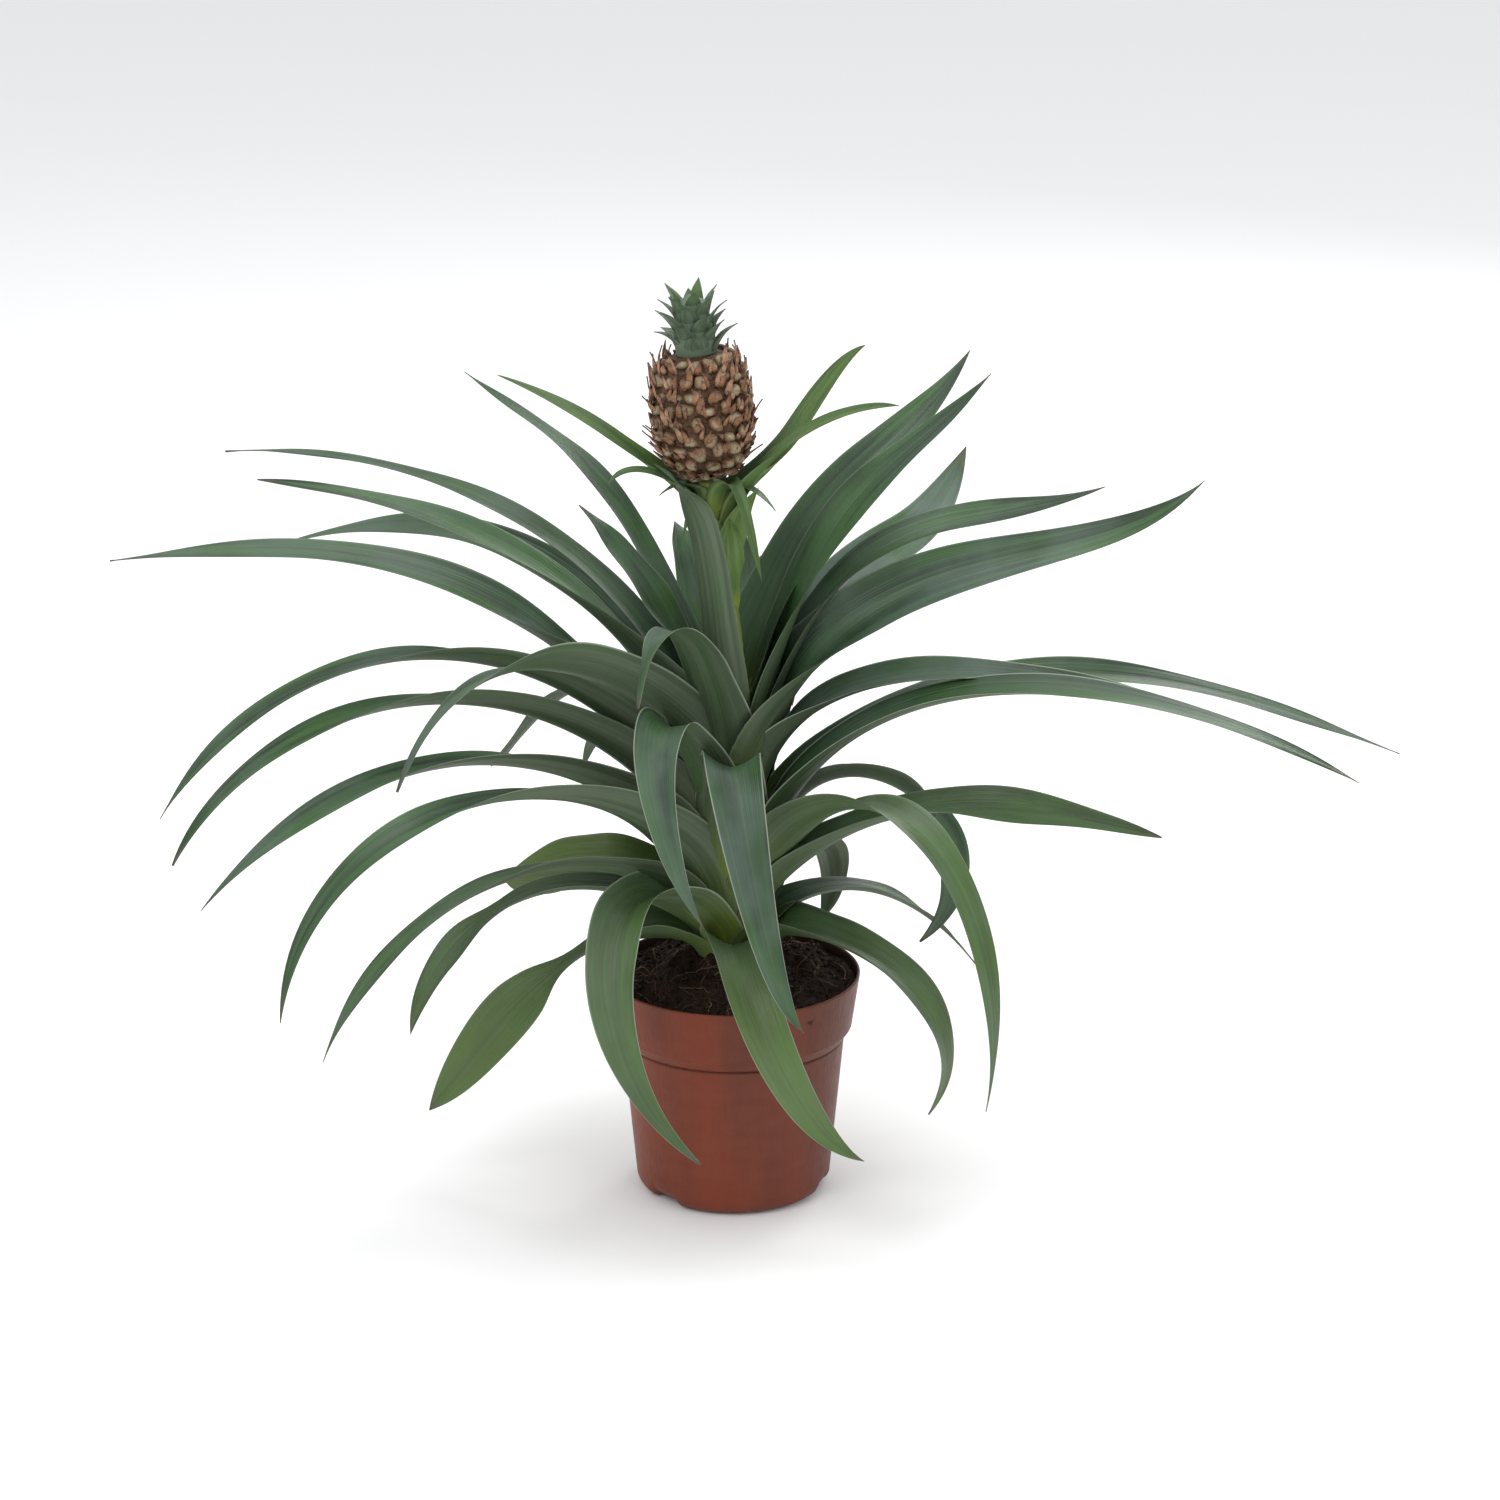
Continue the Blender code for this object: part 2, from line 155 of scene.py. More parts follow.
def makeMottle():
    # soft cloudy patches and fine grain, both from 0 to 1, in object space
    group, source, result = newGroup(
        "mottle",
        [("Cloud Scale", "NodeSocketFloat", 30.0), ("Grain Scale", "NodeSocketFloat", 600.0),
         ("Stretch", "NodeSocketVector", (1.0, 1.0, 1.0))],
        ["Cloud", "Grain"])
    place = put(group, "TexCoord").outputs["Object"]
    place = put(group, "VectorMath", {"operation": "MULTIPLY"}, {0: place, 1: source.outputs["Stretch"]})
    for label, detail in (("Cloud", 3.0), ("Grain", 2.0)):
        noise = put(group, "TexNoise", None, {
            "Vector": place.outputs[0], "Scale": source.outputs[label + " Scale"], "Detail": detail})
        group.links.new(ease(group, noise.outputs[0], 0.33, 0.67), result.inputs[label])
    return group


def makeBladeMarks():
    # masks that follow a blade: lengthwise stripes, its pale margins (also carrying a painted highlight), its keel,
    # its foot and its tip
    group, source, result = newGroup(
        "bladeMarks",
        [("Stripe Count", "NodeSocketFloat", 40.0), ("Seed", "NodeSocketFloat", 0.0),
         ("Margin Width", "NodeSocketFloat", 0.1)],
        ["Stripes", "Bands", "Flush", "Margin", "Keel", "Foot", "Tip", "Along"])
    split = put(group, "SeparateXYZ", None, {
        0: put(group, "UVMap", {"uv_map": "blade"}).outputs[0]}).outputs
    across = calc(group, "ABSOLUTE", calc(group, "MULTIPLY_ADD", split[0], 2.0, -1.0))
    for label, count, run, low, high in (("Stripes", source.outputs["Stripe Count"], 2.5, 0.32, 0.68),
                                         ("Bands", 6.0, 1.3, 0.36, 0.64), ("Flush", 1.6, 3.4, 0.40, 0.66)):
        spot = put(group, "CombineXYZ", None, {
            0: times(group, split[0], count), 1: times(group, split[1], run),
            2: times(group, source.outputs["Seed"], 37.0)}).outputs[0]
        noise = put(group, "TexNoise", None, {"Vector": spot, "Scale": 1.0, "Detail": 2.0})
        group.links.new(ease(group, noise.outputs[0], low, high), result.inputs[label])
    edge = calc(group, "SUBTRACT", 1.0, source.outputs["Margin Width"])
    group.links.new(ease(group, across, edge, 1.0), result.inputs["Margin"])
    group.links.new(ease(group, across, 0.0, 0.09, 1.0, 0.0), result.inputs["Keel"])
    group.links.new(ease(group, split[1], 0.05, 0.22, 1.0, 0.0), result.inputs["Foot"])
    group.links.new(ease(group, split[1], 0.945, 1.0), result.inputs["Tip"])
    group.links.new(split[1], result.inputs["Along"])
    return group


mottle = makeMottle()
bladeMarks = makeBladeMarks()


def startMaterial(name, roughness, specular):
    material = bpy.data.materials.new(name)
    material.use_nodes = True
    shader = material.node_tree.nodes["Principled BSDF"]
    shader.inputs["Roughness"].default_value = roughness
    shader.inputs["Specular IOR Level"].default_value = specular
    return material, material.node_tree, shader


def dress(tree, shader, colour, height, distance):
    # the base colour, and a bump as deep as distance in metres where the height goes from 0 to 1
    tree.links.new(colour, shader.inputs["Base Color"])
    bump = put(tree, "Bump", None, {"Height": height, "Distance": distance})
    tree.links.new(bump.outputs[0], shader.inputs["Normal"])


leafLook = {
    "dark": tint(24, 45, 24),
    "middle": tint(47, 75, 43),
    "fresh": tint(56, 93, 39),
    "bloom": tint(88, 105, 94),
    "bright": tint(94, 116, 55),
    "under": tint(64, 79, 56),
    "underPale": tint(86, 99, 78),
    "margin": tint(164, 174, 156),
    "foot": tint(126, 146, 42),
    "tip": tint(98, 94, 82),
    "roughness": 0.37,
    "specular": 0.40,
    "stripes": 46.0,         # fine stripes across a blade
    "marginWidth": 0.07,     # the pale edge, with its painted highlight, as a share of half the blade
    "bumpDepth": 0.00018,
}


def makeLeafMaterial(name, look):
    material, tree, shader = startMaterial(name, look["roughness"], look["specular"])
    masks = useGroup(tree, bladeMarks, {
        "Stripe Count": look["stripes"], "Seed": mark(tree, "seed"), "Margin Width": look["marginWidth"]})
    patches = useGroup(tree, mottle, {"Cloud Scale": 24.0, "Grain Scale": 400.0})
    upper = blendColour(tree, masks["Bands"], look["dark"], look["middle"])
    freshShare = times(tree, masks["Flush"], ease(tree, masks["Along"], 0.1, 0.5, 0.1, 0.8))
    upper = blendColour(tree, freshShare, upper, look["fresh"])
    bloomShare = times(tree, patches["Cloud"], mark(tree, "bloom"))
    upper = blendColour(tree, bloomShare, upper, look["bloom"])
    brightShare = times(tree, mark(tree, "bright"), ease(tree, masks["Along"], 0.1, 0.6, 0.4, 1.0))
    upper = blendColour(tree, brightShare, upper, look["bright"])
    upper = blendColour(tree, times(tree, masks["Keel"], 0.35), upper, look["under"])
    under = blendColour(tree, masks["Bands"], look["under"], look["underPale"])
    under = blendColour(tree, times(tree, mark(tree, "bright"), 0.55), under, look["bright"])
    under = blendColour(tree, times(tree, masks["Flush"], 0.35), under, look["fresh"])
    colour = blendColour(tree, mark(tree, "upper"), under, upper)
    shade = ease(tree, masks["Stripes"], 0.0, 1.0, 0.93, 1.05)
    shade = put(tree, "CombineXYZ", None, {0: shade, 1: shade, 2: shade}).outputs[0]
    colour = blendColour(tree, 1.0, colour, shade, "MULTIPLY")
    footShare = times(tree, masks["Foot"], mark(tree, "glow"))
    colour = blendColour(tree, footShare, colour, look["foot"])
    # pale margin: the leaf's own silver edge, and where the margin mark is high, a painted highlight and rim light
    # along the edge
    colour = blendColour(tree, times(tree, masks["Margin"], mark(tree, "marginAndGlint")), colour, look["margin"])
    colour = blendColour(tree, times(tree, masks["Tip"], 0.8), colour, look["tip"])
    rough = ease(tree, mark(tree, "upper"), 0.0, 1.0, look["roughness"] + 0.16, look["roughness"])
    rough = calc(tree, "MULTIPLY_ADD", patches["Cloud"], 0.10, rough)
    tree.links.new(rough, shader.inputs["Roughness"])
    height = calc(tree, "MULTIPLY_ADD", masks["Stripes"], 0.5, masks["Bands"])
    dress(tree, shader, colour, height, look["bumpDepth"])
    return material


bractLook = dict(leafLook, dark=tint(44, 70, 34), middle=tint(68, 94, 48), fresh=tint(84, 114, 48),
                 bloom=tint(94, 112, 82), bright=tint(96, 128, 50), under=tint(82, 108, 54),
                 underPale=tint(112, 134, 84), foot=tint(134, 152, 58), roughness=0.42)
leafMaterial = makeLeafMaterial("leafBlade", leafLook)
bractMaterial = makeLeafMaterial("bractBlade", bractLook)
print("leaf materials")


def sectionFrame(line, across, roll):
    # the sideways direction square to the line and the upper side square to both, turned about it by roll
    along = unit(np.gradient(line, axis=-2))
    side = unit(across - along * np.sum(across * along, axis=-1, keepdims=True))
    upper = np.cross(along, side)
    cosine, sine = np.cos(roll)[..., None], np.sin(roll)[..., None]
    return side * cosine + upper * sine, upper * cosine - side * sine


def carryBlade(line, across, half, thick, curl, roll, columns, ripple=0.0, fold=0.0, keel=0.002):
    # Flat oval section, its width bent to an arc of radius curl and folded up along its keel, carried
    # along the line. A point at angle a has x = half cos a along the arc and thick sin a above it, and
    # the fold lifts it by a hyperbola in x. Both ends close to a point.
    side, upper = sectionFrame(line, across, roll)
    half, curl = half[..., None], curl[..., None]
    angle = np.linspace(0, 2 * np.pi, columns, endpoint=False)
    x = half * np.cos(angle)
    bend = x / curl
    lateral = curl * np.sin(bend)
    height = curl * (1 - np.cos(bend))
    edge = np.cos(angle) ** 4 * np.sign(np.cos(angle))
    rim = 1 - 0.55 * np.abs(np.cos(angle)) ** 3
    height = height + fold * (np.sqrt(x ** 2 + keel ** 2) - keel)
    height = height + thick[..., None] * np.sin(angle) * rim + ripple * edge
    points = line[..., None, :] + side[..., None, :] * lateral[..., None] + upper[..., None, :] * height[..., None]
    first = np.repeat(line[..., :1, None, :], columns, axis=-2)
    last = np.repeat(line[..., -1:, None, :], columns, axis=-2)
    return np.concatenate([first, points, last], axis=-3)


def bladeUv(rows, columns):
    # across from 0 to 1 and along from 0 to 1, the same on the blade's upper and under sides
    angle = np.linspace(0, 2 * np.pi, columns, endpoint=False)
    along = np.concatenate([[0.0], np.linspace(0, 1, rows), [1.0]])
    uv = np.empty((rows + 2, columns, 2))
    uv[..., 0] = (np.cos(angle)[None, :] + 1) / 2
    uv[..., 1] = along[:, None]
    return uv, np.repeat(smoothStep(-0.25, 0.25, np.sin(angle))[None, :], rows + 2, axis=0)


leafShape = {
    "rows": 70,
    "columns": 28,
    "thickness": 0.0011,
    "footRun": 0.12,         # length of the wrapped foot, as a share of the run beyond it
    "footGap": 0.0012,       # from the stem's surface to the midline
    "sheathLength": 0.026,   # how far the foot wraps down the stem below the place where the leaf leaves it
    "sheathShare": 1.45,     # width of the wrapped foot against the blade
    "sheathEnd": 0.28,       # where along the leaf the foot has narrowed to the blade
    "sheathInset": 0.0022,
    "softBend": 0.045,       # how gently the leaf turns out from the stem
    "channelRadius": 0.024,
    "tipRadius": 0.060,
    "tipHalf": 0.00018,
    "fold": 0.36,            # slope of each half of the blade beside its keel
    "ripple": 0.0006,
}

# Each row is azimuth in degrees (0 right, 90 back, -90 front), foot height, the midline's places (out, up)
# at a third, two thirds and the whole of its run, and width, all in mm, and then what sets this blade apart:
# its roll in degrees at the foot and over a stretch of the run, where, how widely and how deep it is pinched,
# how bluntly it ends, how far its tip sways sideways and its middle is nudged out and up, in mm, its crease,
# and from 0 to 1 its bloom, its brightness, the yellow of its foot and the paleness of its margin, which is
# its own silver edge and, where it is high, a painted highlight and rim light.
plainTouch = {"footRoll": 0, "roll": 0, "rollRun": (0.12, 0.5), "pinch": (0.5, 0.1, 0.0), "taper": 3.6, "sway": 0,
              "nudge": (0, 0), "crease": 1.0, "bloom": 0.42, "bright": 0.0, "glow": 0.35, "marginAndGlint": 0.25}
sheathTouch = {"bright": 0.5, "glow": 1.0, "bloom": 0.2, "taper": 2.4}
leafRows = {
    "leaf_left_01": (180, 122, (70, 115), (110, 80), (145, 35), 27, {
        "roll": -70, "rollRun": (0.3, 0.55), "pinch": (0.4, 0.13, 0.62), "taper": 7, "bright": 0.55}),
    "leaf_left_02": (195, 128, (80, 155), (130, 135), (155, 90), 20, {
        "roll": -45, "rollRun": (0.5, 0.75), "pinch": (0.55, 0.09, 0.45), "bright": 0.3}),
    "leaf_left_03": (205, 138, (90, 170), (160, 150), (205, 95), 24, {
        "footRoll": 20, "roll": -25, "rollRun": (0.3, 0.95), "taper": 1.9, "bright": 0.1}),
    "leaf_left_04": (170, 134, (50, 155), (80, 155), (110, 145), 36, {
        "taper": 9, "footRoll": 5, "roll": -28, "bright": 0.85, "bloom": 0.05, "nudge": (0, -6)}),
    "leaf_left_05": (220, 144, (90, 210), (195, 215), (255, 145), 28, {
        "footRoll": 35, "roll": -30, "rollRun": (0.12, 0.95), "taper": 1.9, "bloom": 0.15, "marginAndGlint": 0.5}),
    "leaf_left_06": (195, 158, (95, 215), (180, 210), (250, 160), 27, {
        "footRoll": 35, "roll": -32, "rollRun": (0.12, 0.9), "bloom": 0.5, "taper": 2.1, "marginAndGlint": 0.5}),
    "leaf_left_07": (190, 168, (100, 240), (195, 235), (260, 175), 27, {
        "footRoll": 40, "roll": -32, "rollRun": (0.15, 0.95), "taper": 2.3}),
    "leaf_left_08": (185, 178, (95, 255), (190, 255), (265, 190), 28, {
        "footRoll": 40, "roll": -32, "rollRun": (0.15, 0.95), "taper": 2.2}),
    "leaf_left_09": (140, 166, (70, 230), (120, 210), (155, 175), 20.16, {"footRoll": 20}),
    "leaf_left_10": (215, 196, (50, 250), (120, 275), (180, 230), 33, {
        "footRoll": 40, "roll": 12, "rollRun": (0.5, 0.85), "taper": 3.0, "bloom": 0.5, "marginAndGlint": 0.7}),
    "leaf_left_11": (175, 192, (100, 275), (190, 305), (290, 300), 26.88, {
        "footRoll": 25, "roll": -12, "rollRun": (0.15, 0.4)}),
    "leaf_left_12": (150, 196, (85, 280), (170, 300), (255, 280), 22.4, {"roll": -20}),
    "leaf_left_13": (190, 212, (70, 290), (140, 335), (215, 355), 25, {"footRoll": 20, "roll": -20, "taper": 2.3}),
    "leaf_left_14": (155, 200, (70, 290), (165, 330), (270, 330), 20, {"roll": -5, "taper": 2.0}),
    "leaf_left_15": (185, 230, (30, 275), (50, 310), (70, 335), 25, {"roll": -35, "bloom": 0.3, "taper": 2.3}),
    "leaf_left_16": (145, 220, (55, 310), (100, 350), (155, 375), 16, {"roll": -8, "taper": 2.2}),
    "leaf_right_01": (-30, 124, (60, 130), (105, 105), (105, 55), 27, {"bright": 0.3}),
    "leaf_right_02": (20, 128, (60, 140), (100, 120), (130, 85), 17, {}),
    "leaf_right_03": (60, 132, (70, 150), (95, 130), (85, 105), 22.4, {}),
    "leaf_right_04": (-10, 142, (70, 185), (135, 195), (200, 185), 26, {
        "roll": 40, "rollRun": (0.35, 0.7), "taper": 3.0, "bright": 0.2}),
    "leaf_right_05": (-40, 150, (85, 205), (140, 165), (150, 75), 25, {
        "footRoll": -25, "roll": 5, "bright": 0.3, "taper": 2.4, "bloom": 0.5}),
    "leaf_right_06": (10, 152, (55, 200), (100, 170), (90, 115), 24, {
        "footRoll": -20, "roll": 75, "rollRun": (0.45, 0.85), "taper": 5.0, "bloom": 0.2}),
    # right_07, right_08 and right_09 have their margins painted strongly pale as a painted highlight along the edges
    "leaf_right_07": (-15, 160, (80, 240), (185, 255), (290, 225), 24, {
        "roll": 8, "rollRun": (0.0, 0.2), "taper": 3.4, "bloom": 0.3, "marginAndGlint": 0.9}),
    "leaf_right_08": (20, 178, (120, 235), (240, 220), (350, 175), 19, {
        "roll": 22, "taper": 3.4, "bloom": 0.5, "marginAndGlint": 0.9}),
    "leaf_right_09": (-5, 186, (60, 250), (150, 255), (235, 235), 23, {
        "footRoll": -20, "roll": 12, "rollRun": (0.1, 0.3), "bloom": 0.8, "nudge": (0, -3), "marginAndGlint": 1.0}),
    "leaf_right_10": (0, 196, (65, 285), (145, 315), (215, 345), 35, {
        "roll": 44, "rollRun": (0.05, 0.35), "taper": 1.9, "bloom": 0.5, "nudge": (0, -3)}),
    "leaf_right_11": (15, 206, (55, 295), (115, 320), (180, 330), 20, {
        "roll": 30, "rollRun": (0.2, 0.7), "taper": 3.4}),
    "leaf_right_12": (55, 190, (80, 270), (140, 285), (200, 320), 24, {
        "roll": 30, "bloom": 0.9, "taper": 8, "marginAndGlint": 0.5}),
    "leaf_right_13": (10, 210, (40, 305), (75, 350), (120, 390), 25, {"roll": 40, "taper": 2.2, "bloom": 0.2}),
    "leaf_right_14": (45, 236, (50, 310), (105, 345), (160, 380), 26, {"roll": 40, "taper": 2.8, "bloom": 0.2}),
    "leaf_front_01": (-90, 124, (65, 125), (90, 85), (95, 50), 24, {
        "bright": 0.5, "taper": 3.2, "glow": 0.8, "marginAndGlint": 0.45, "sway": 60}),
    "leaf_front_02": (-135, 130, (75, 165), (100, 120), (80, 50), 27, {
        "bright": 0.3, "taper": 2.8, "roll": -35, "rollRun": (0.25, 0.5), "nudge": (0, -10), "glow": 0.85,
        "marginAndGlint": 0.7, "sway": 60}),
    "leaf_front_03": (-95, 148, (50, 225), (80, 175), (85, 110), 29, {
        "taper": 2.2, "bloom": 0.6, "nudge": (0, -3), "glow": 1.0, "marginAndGlint": 0.9, "sway": 40}),
    "leaf_front_04": (-130, 178, (60, 250), (85, 225), (85, 165), 26, {
        "taper": 2.2, "bloom": 0.6, "roll": -30, "rollRun": (0.25, 0.5), "nudge": (4, -8), "glow": 0.1,
        "marginAndGlint": 0.9, "sway": 55}),
    "leaf_front_05": (-120, 206, (35, 270), (70, 290), (100, 265), 29, {
        "bloom": 0.6, "taper": 2.0, "roll": 28, "rollRun": (0.5, 0.75), "crease": 0.25, "marginAndGlint": 0.7, "sway": 10}),
    "leaf_front_06": (-105, 226, (30, 305), (45, 345), (75, 370), 16, {
        "bloom": 0.3, "roll": -60, "rollRun": (0.55, 1.0), "sway": -15}),
    "leaf_back_01": (100, 124, (55, 150), (95, 140), (120, 105), 26.88, {}),
    "leaf_back_02": (95, 140, (60, 185), (115, 185), (160, 140), 26.88, {}),
    "leaf_back_03": (120, 150, (60, 195), (110, 200), (150, 165), 24.64, {}),
    "leaf_back_04": (80, 158, (60, 205), (115, 215), (170, 185), 26.88, {}),
    "leaf_back_05": (110, 180, (60, 230), (110, 245), (160, 230), 26.88, {}),
    "leaf_back_06": (90, 186, (55, 240), (105, 255), (155, 240), 26.88, {}),
    "leaf_back_07": (80, 204, (40, 255), (70, 280), (100, 285), 22.4, {"bloom": 0.7, "sway": -5}),
    "leaf_back_08": (80, 220, (30, 260), (45, 280), (60, 305), 22.4, {"sway": 5}),
    "leaf_back_09": (115, 242, (35, 270), (50, 295), (65, 310), 20.16, {}),
}

bractRows = {
    "bract_left_long": (170, 330, (35, 355), (65, 375), (100, 390), 7.5, {
        "roll": -40, "bright": 0.1, "bloom": 0.6}),
    "bract_left_short": (210, 326, (20, 345), (40, 355), (55, 350), 6, {"roll": -25}),
    "bract_right_long": (10, 332, (30, 355), (50, 385), (70, 405), 10.5, {"roll": 55, "bright": 0.15, "glow": 0.9}),
    "bract_right_arched": (-15, 322, (30, 360), (60, 380), (85, 385), 8, {"roll": 30, "bright": 0.1, "glow": 0.9}),
    "bract_front_hanging": (-50, 334, (15, 345), (25, 330), (35, 305), 7, {"bright": 0.1, "glow": 0.9}),
    "bract_back": (95, 328, (25, 350), (40, 365), (55, 385), 8.96, {}),
}

# short pointed bracts and broad bract bases that only dress the stalk under the fruit
thornRows = {
    "thornLeft": (190, 337, (10, 343), (17, 343), (24, 339), 6.72, {}),
    "thornRight": (-25, 335, (12, 343), (22, 342), (32, 334), 6.72, {}),
    "thornLow": (-150, 334, (8, 336), (12, 330), (15, 321), 5.6, {}),
    "thornBack": (70, 336, (10, 343), (18, 344), (26, 340), 6.72, {}),
    "thornFar": (130, 335, (9, 342), (15, 343), (22, 338), 6.72, {}),
    "sheathRight": (-40, 300, (13, 321), (15, 334), (21, 345), 22.4, sheathTouch),
    "sheathLeft": (-145, 298, (12, 319), (14, 331), (20, 341), 22.4, sheathTouch),
    "sheathFront": (-85, 288, (11, 306), (12, 319), (16, 331), 20.16, sheathTouch),
    "sheathBack": (75, 296, (12, 317), (14, 330), (19, 341), 22.4, sheathTouch),
}

stemShape = {
    "heights": (88.4, 118, 150, 200, 245, 290, 345),
    "radii": (15.0, 15.0, 13.0, 9.5, 6.5, 5.0, 5.0),
    "leanStart": 0.250,
    "leanHeight": 0.095,
    "leanReach": 0.0110,
}


def stemRadius(height):
    # straight runs between the listed heights
    return np.interp(height / mm, stemShape["heights"], stemShape["radii"]) * mm


def stemAxis(height):
    # upright at first, then leaning left with the power one and a half of the height
    rise = np.maximum(0, height - stemShape["leanStart"]) / stemShape["leanHeight"]
    return -stemShape["leanReach"] * rise ** 1.5


def bladeLine(azimuth, foot, places, sway, axis, run):
    # cubic curve through the foot and the three places, drifting sideways with the square of the run
    outs = np.array([foot[0]] + [place[0] * mm for place in places])
    ups = np.array([foot[1]] + [place[1] * mm for place in places])
    weights = np.stack([
        -4.5 * (run - 1 / 3) * (run - 2 / 3) * (run - 1), 13.5 * run * (run - 2 / 3) * (run - 1),
        -13.5 * run * (run - 1 / 3) * (run - 1), 4.5 * run * (run - 1 / 3) * (run - 2 / 3)])
    out, up = outs @ weights, ups @ weights
    outward, across = roundFrame(azimuth)
    line = outward * out[:, None] + across * (sway * run ** 2)[:, None] + np.array([axis, 0, 0])
    line[:, 2] = up
    return line, outward, across


def bladeHalf(run, width, touch, shape):
    # half the width: wide where it wraps the stem, then even, then closing with a power of the run, less a
    # bell-shaped share at the pinch
    ahead = np.clip(run, 0, 1)
    sheath = 1 + (shape["sheathShare"] - 1) * (1 - smoothStep(0, shape["sheathEnd"], run))
    at, spread, depth = touch["pinch"]
    pinch = 1 - depth * np.exp(-((run - at) / spread) ** 2)
    return width * mm / 2 * sheath * pinch * (1 - ahead ** touch["taper"]) + shape["tipHalf"]


def makeBlades(rows, shape, material, onStalk, replacing=True):
    # Each midline is the wrapped foot and then the cubic, nudged by half a sine wave and blurred by a bell
    # curve at the bend. The section's arc is as tight as the stem at the foot and opens towards the tip.
    for number, (name, (azimuth, footHeight, *places, width, own)) in enumerate(rows.items()):
        touch = {**plainTouch, **own}
        azimuth, height = math.radians(azimuth), footHeight * mm
        axis = float(stemAxis(height)) if onStalk else 0.0
        foot = (float(stemRadius(height)) + shape["footGap"], height)
        run = np.linspace(-shape["footRun"], 1, shape["rows"])
        ahead = np.clip(run, 0, 1)
        line, outward, across = bladeLine(azimuth, foot, places, touch["sway"] * mm, axis, np.maximum(run, 0))
        below = np.minimum(run, 0) / shape["footRun"]
        line = line + outward * (below * shape["sheathInset"])[:, None]
        line[:, 2] += below * shape["sheathLength"]
        line[:, ::2] += np.sin(np.pi * ahead)[:, None] * np.array(touch["nudge"]) * mm
        reachBlur = shape["softBend"] * (1 - smoothStep(0.1, 0.4, run)) + 0.002
        blur = np.exp(-((run[:, None] - run[None, :]) / reachBlur[:, None]) ** 2)
        line = (blur / blur.sum(axis=1, keepdims=True)) @ line
        half = bladeHalf(run, width, touch, shape)
        reach = np.maximum(np.hypot(line[:, 0] - axis, line[:, 1]), 0.004)
        opening = (shape["tipRadius"] - shape["channelRadius"]) * smoothStep(0.1, 0.9, run)
        channel = shape["channelRadius"] + opening
        snug = 1 - smoothStep(-0.02, 0.22, run)
        curl = np.minimum(reach, channel) * snug + channel * (1 - snug)
        thick = shape["thickness"] / 2 * (1 - 0.6 * ahead ** 3)
        start, end = math.radians(touch["footRoll"]), math.radians(touch["roll"])
        free = smoothStep(-0.02, 0.12, run)
        turn = start * free + (end - start) * smoothStep(*touch["rollRun"], run)
        fold = touch["crease"] * shape["fold"] * free * (1 - 0.75 * smoothStep(0.45, 0.95, run))
        wave = np.sin(run * (17 + number % 5) + number) * shape["ripple"] * smoothStep(0.1, 0.5, run)
        points = carryBlade(line, across, half, thick, curl, turn, shape["columns"], wave[:, None], fold[:, None])
        uv, upperMark = bladeUv(shape["rows"], shape["columns"])
        marks = {label: np.full(upperMark.shape, touch[label]) for label in ("bloom", "bright", "glow", "marginAndGlint")}
        marks.update(upper=upperMark, seed=np.full(upperMark.shape, number * 0.618 % 1))
        faces = gridFaces(shape["rows"] + 2, shape["columns"])
        makePiece("blade_" + name, points, faces, material, name if replacing else None, uv, marks)


bractShape = dict(leafShape, rows=40, columns=16, thickness=0.0009, sheathLength=0.010, sheathShare=2.1,
                  sheathEnd=0.45, sheathInset=0.0010, channelRadius=0.0065, tipRadius=0.016, ripple=0.0001)
thornShape = dict(bractShape, rows=24, sheathLength=0.006)
makeBlades(leafRows, leafShape, leafMaterial, False)
makeBlades(bractRows, bractShape, bractMaterial, True)
makeBlades(thornRows, thornShape, bractMaterial, True, False)
print("leaves and bracts")


def turnProfile(radii, heights, steps):
    # each profile point carried once round the Z axis, as rows of steps points
    angle = np.linspace(0, 2 * np.pi, steps, endpoint=False)
    points = np.empty((len(radii), steps, 3))
    points[..., 0] = np.asarray(radii)[:, None] * np.cos(angle)
    points[..., 1] = np.asarray(radii)[:, None] * np.sin(angle)
    points[..., 2] = np.asarray(heights)[:, None]
    return points, angle


def resample(corners, spacing):
    # points at even steps along the straight runs between the corners
    corners = np.array(corners, dtype=float)
    length = np.concatenate([[0], np.cumsum(np.hypot(*np.diff(corners, axis=0).T))])
    inner = np.linspace(0, length[-1], int(length[-1] / spacing) + 1)
    stops = np.unique(np.round(np.concatenate([length, inner]), 7))
    return np.interp(stops, length, corners[:, 0]), np.interp(stops, length, corners[:, 1])


potShape = {
    "height": 0.107, "rimRadius": 0.0600, "collarFoot": 0.0562, "collarHeight": 0.0265,
    "bodyTop": 0.0526, "bodyFoot": 0.0462, "rounding": 0.007, "wall": 0.0014, "floor": 0.0018,
    "slotAngles": (-137.0, -17.0, 103.0), "slotWidth": 0.017, "slotHeight": 0.0030, "sides": 180,
    "colour": tint(115, 53, 34), "shade": tint(84, 45, 34), "dust": tint(140, 84, 66),
    "grimeAndShade": tint(46, 32, 27), "smudgePlace": (0.0355, -0.0465, 0.0985), "roughness": 0.46,
}


def arc(centre, radius, start, stop, steps):
    # points of a circle from one angle to another, in degrees
    angle = np.radians(np.linspace(start, stop, steps))
    return list(zip(centre[0] + radius * np.cos(angle), centre[1] + radius * np.sin(angle)))


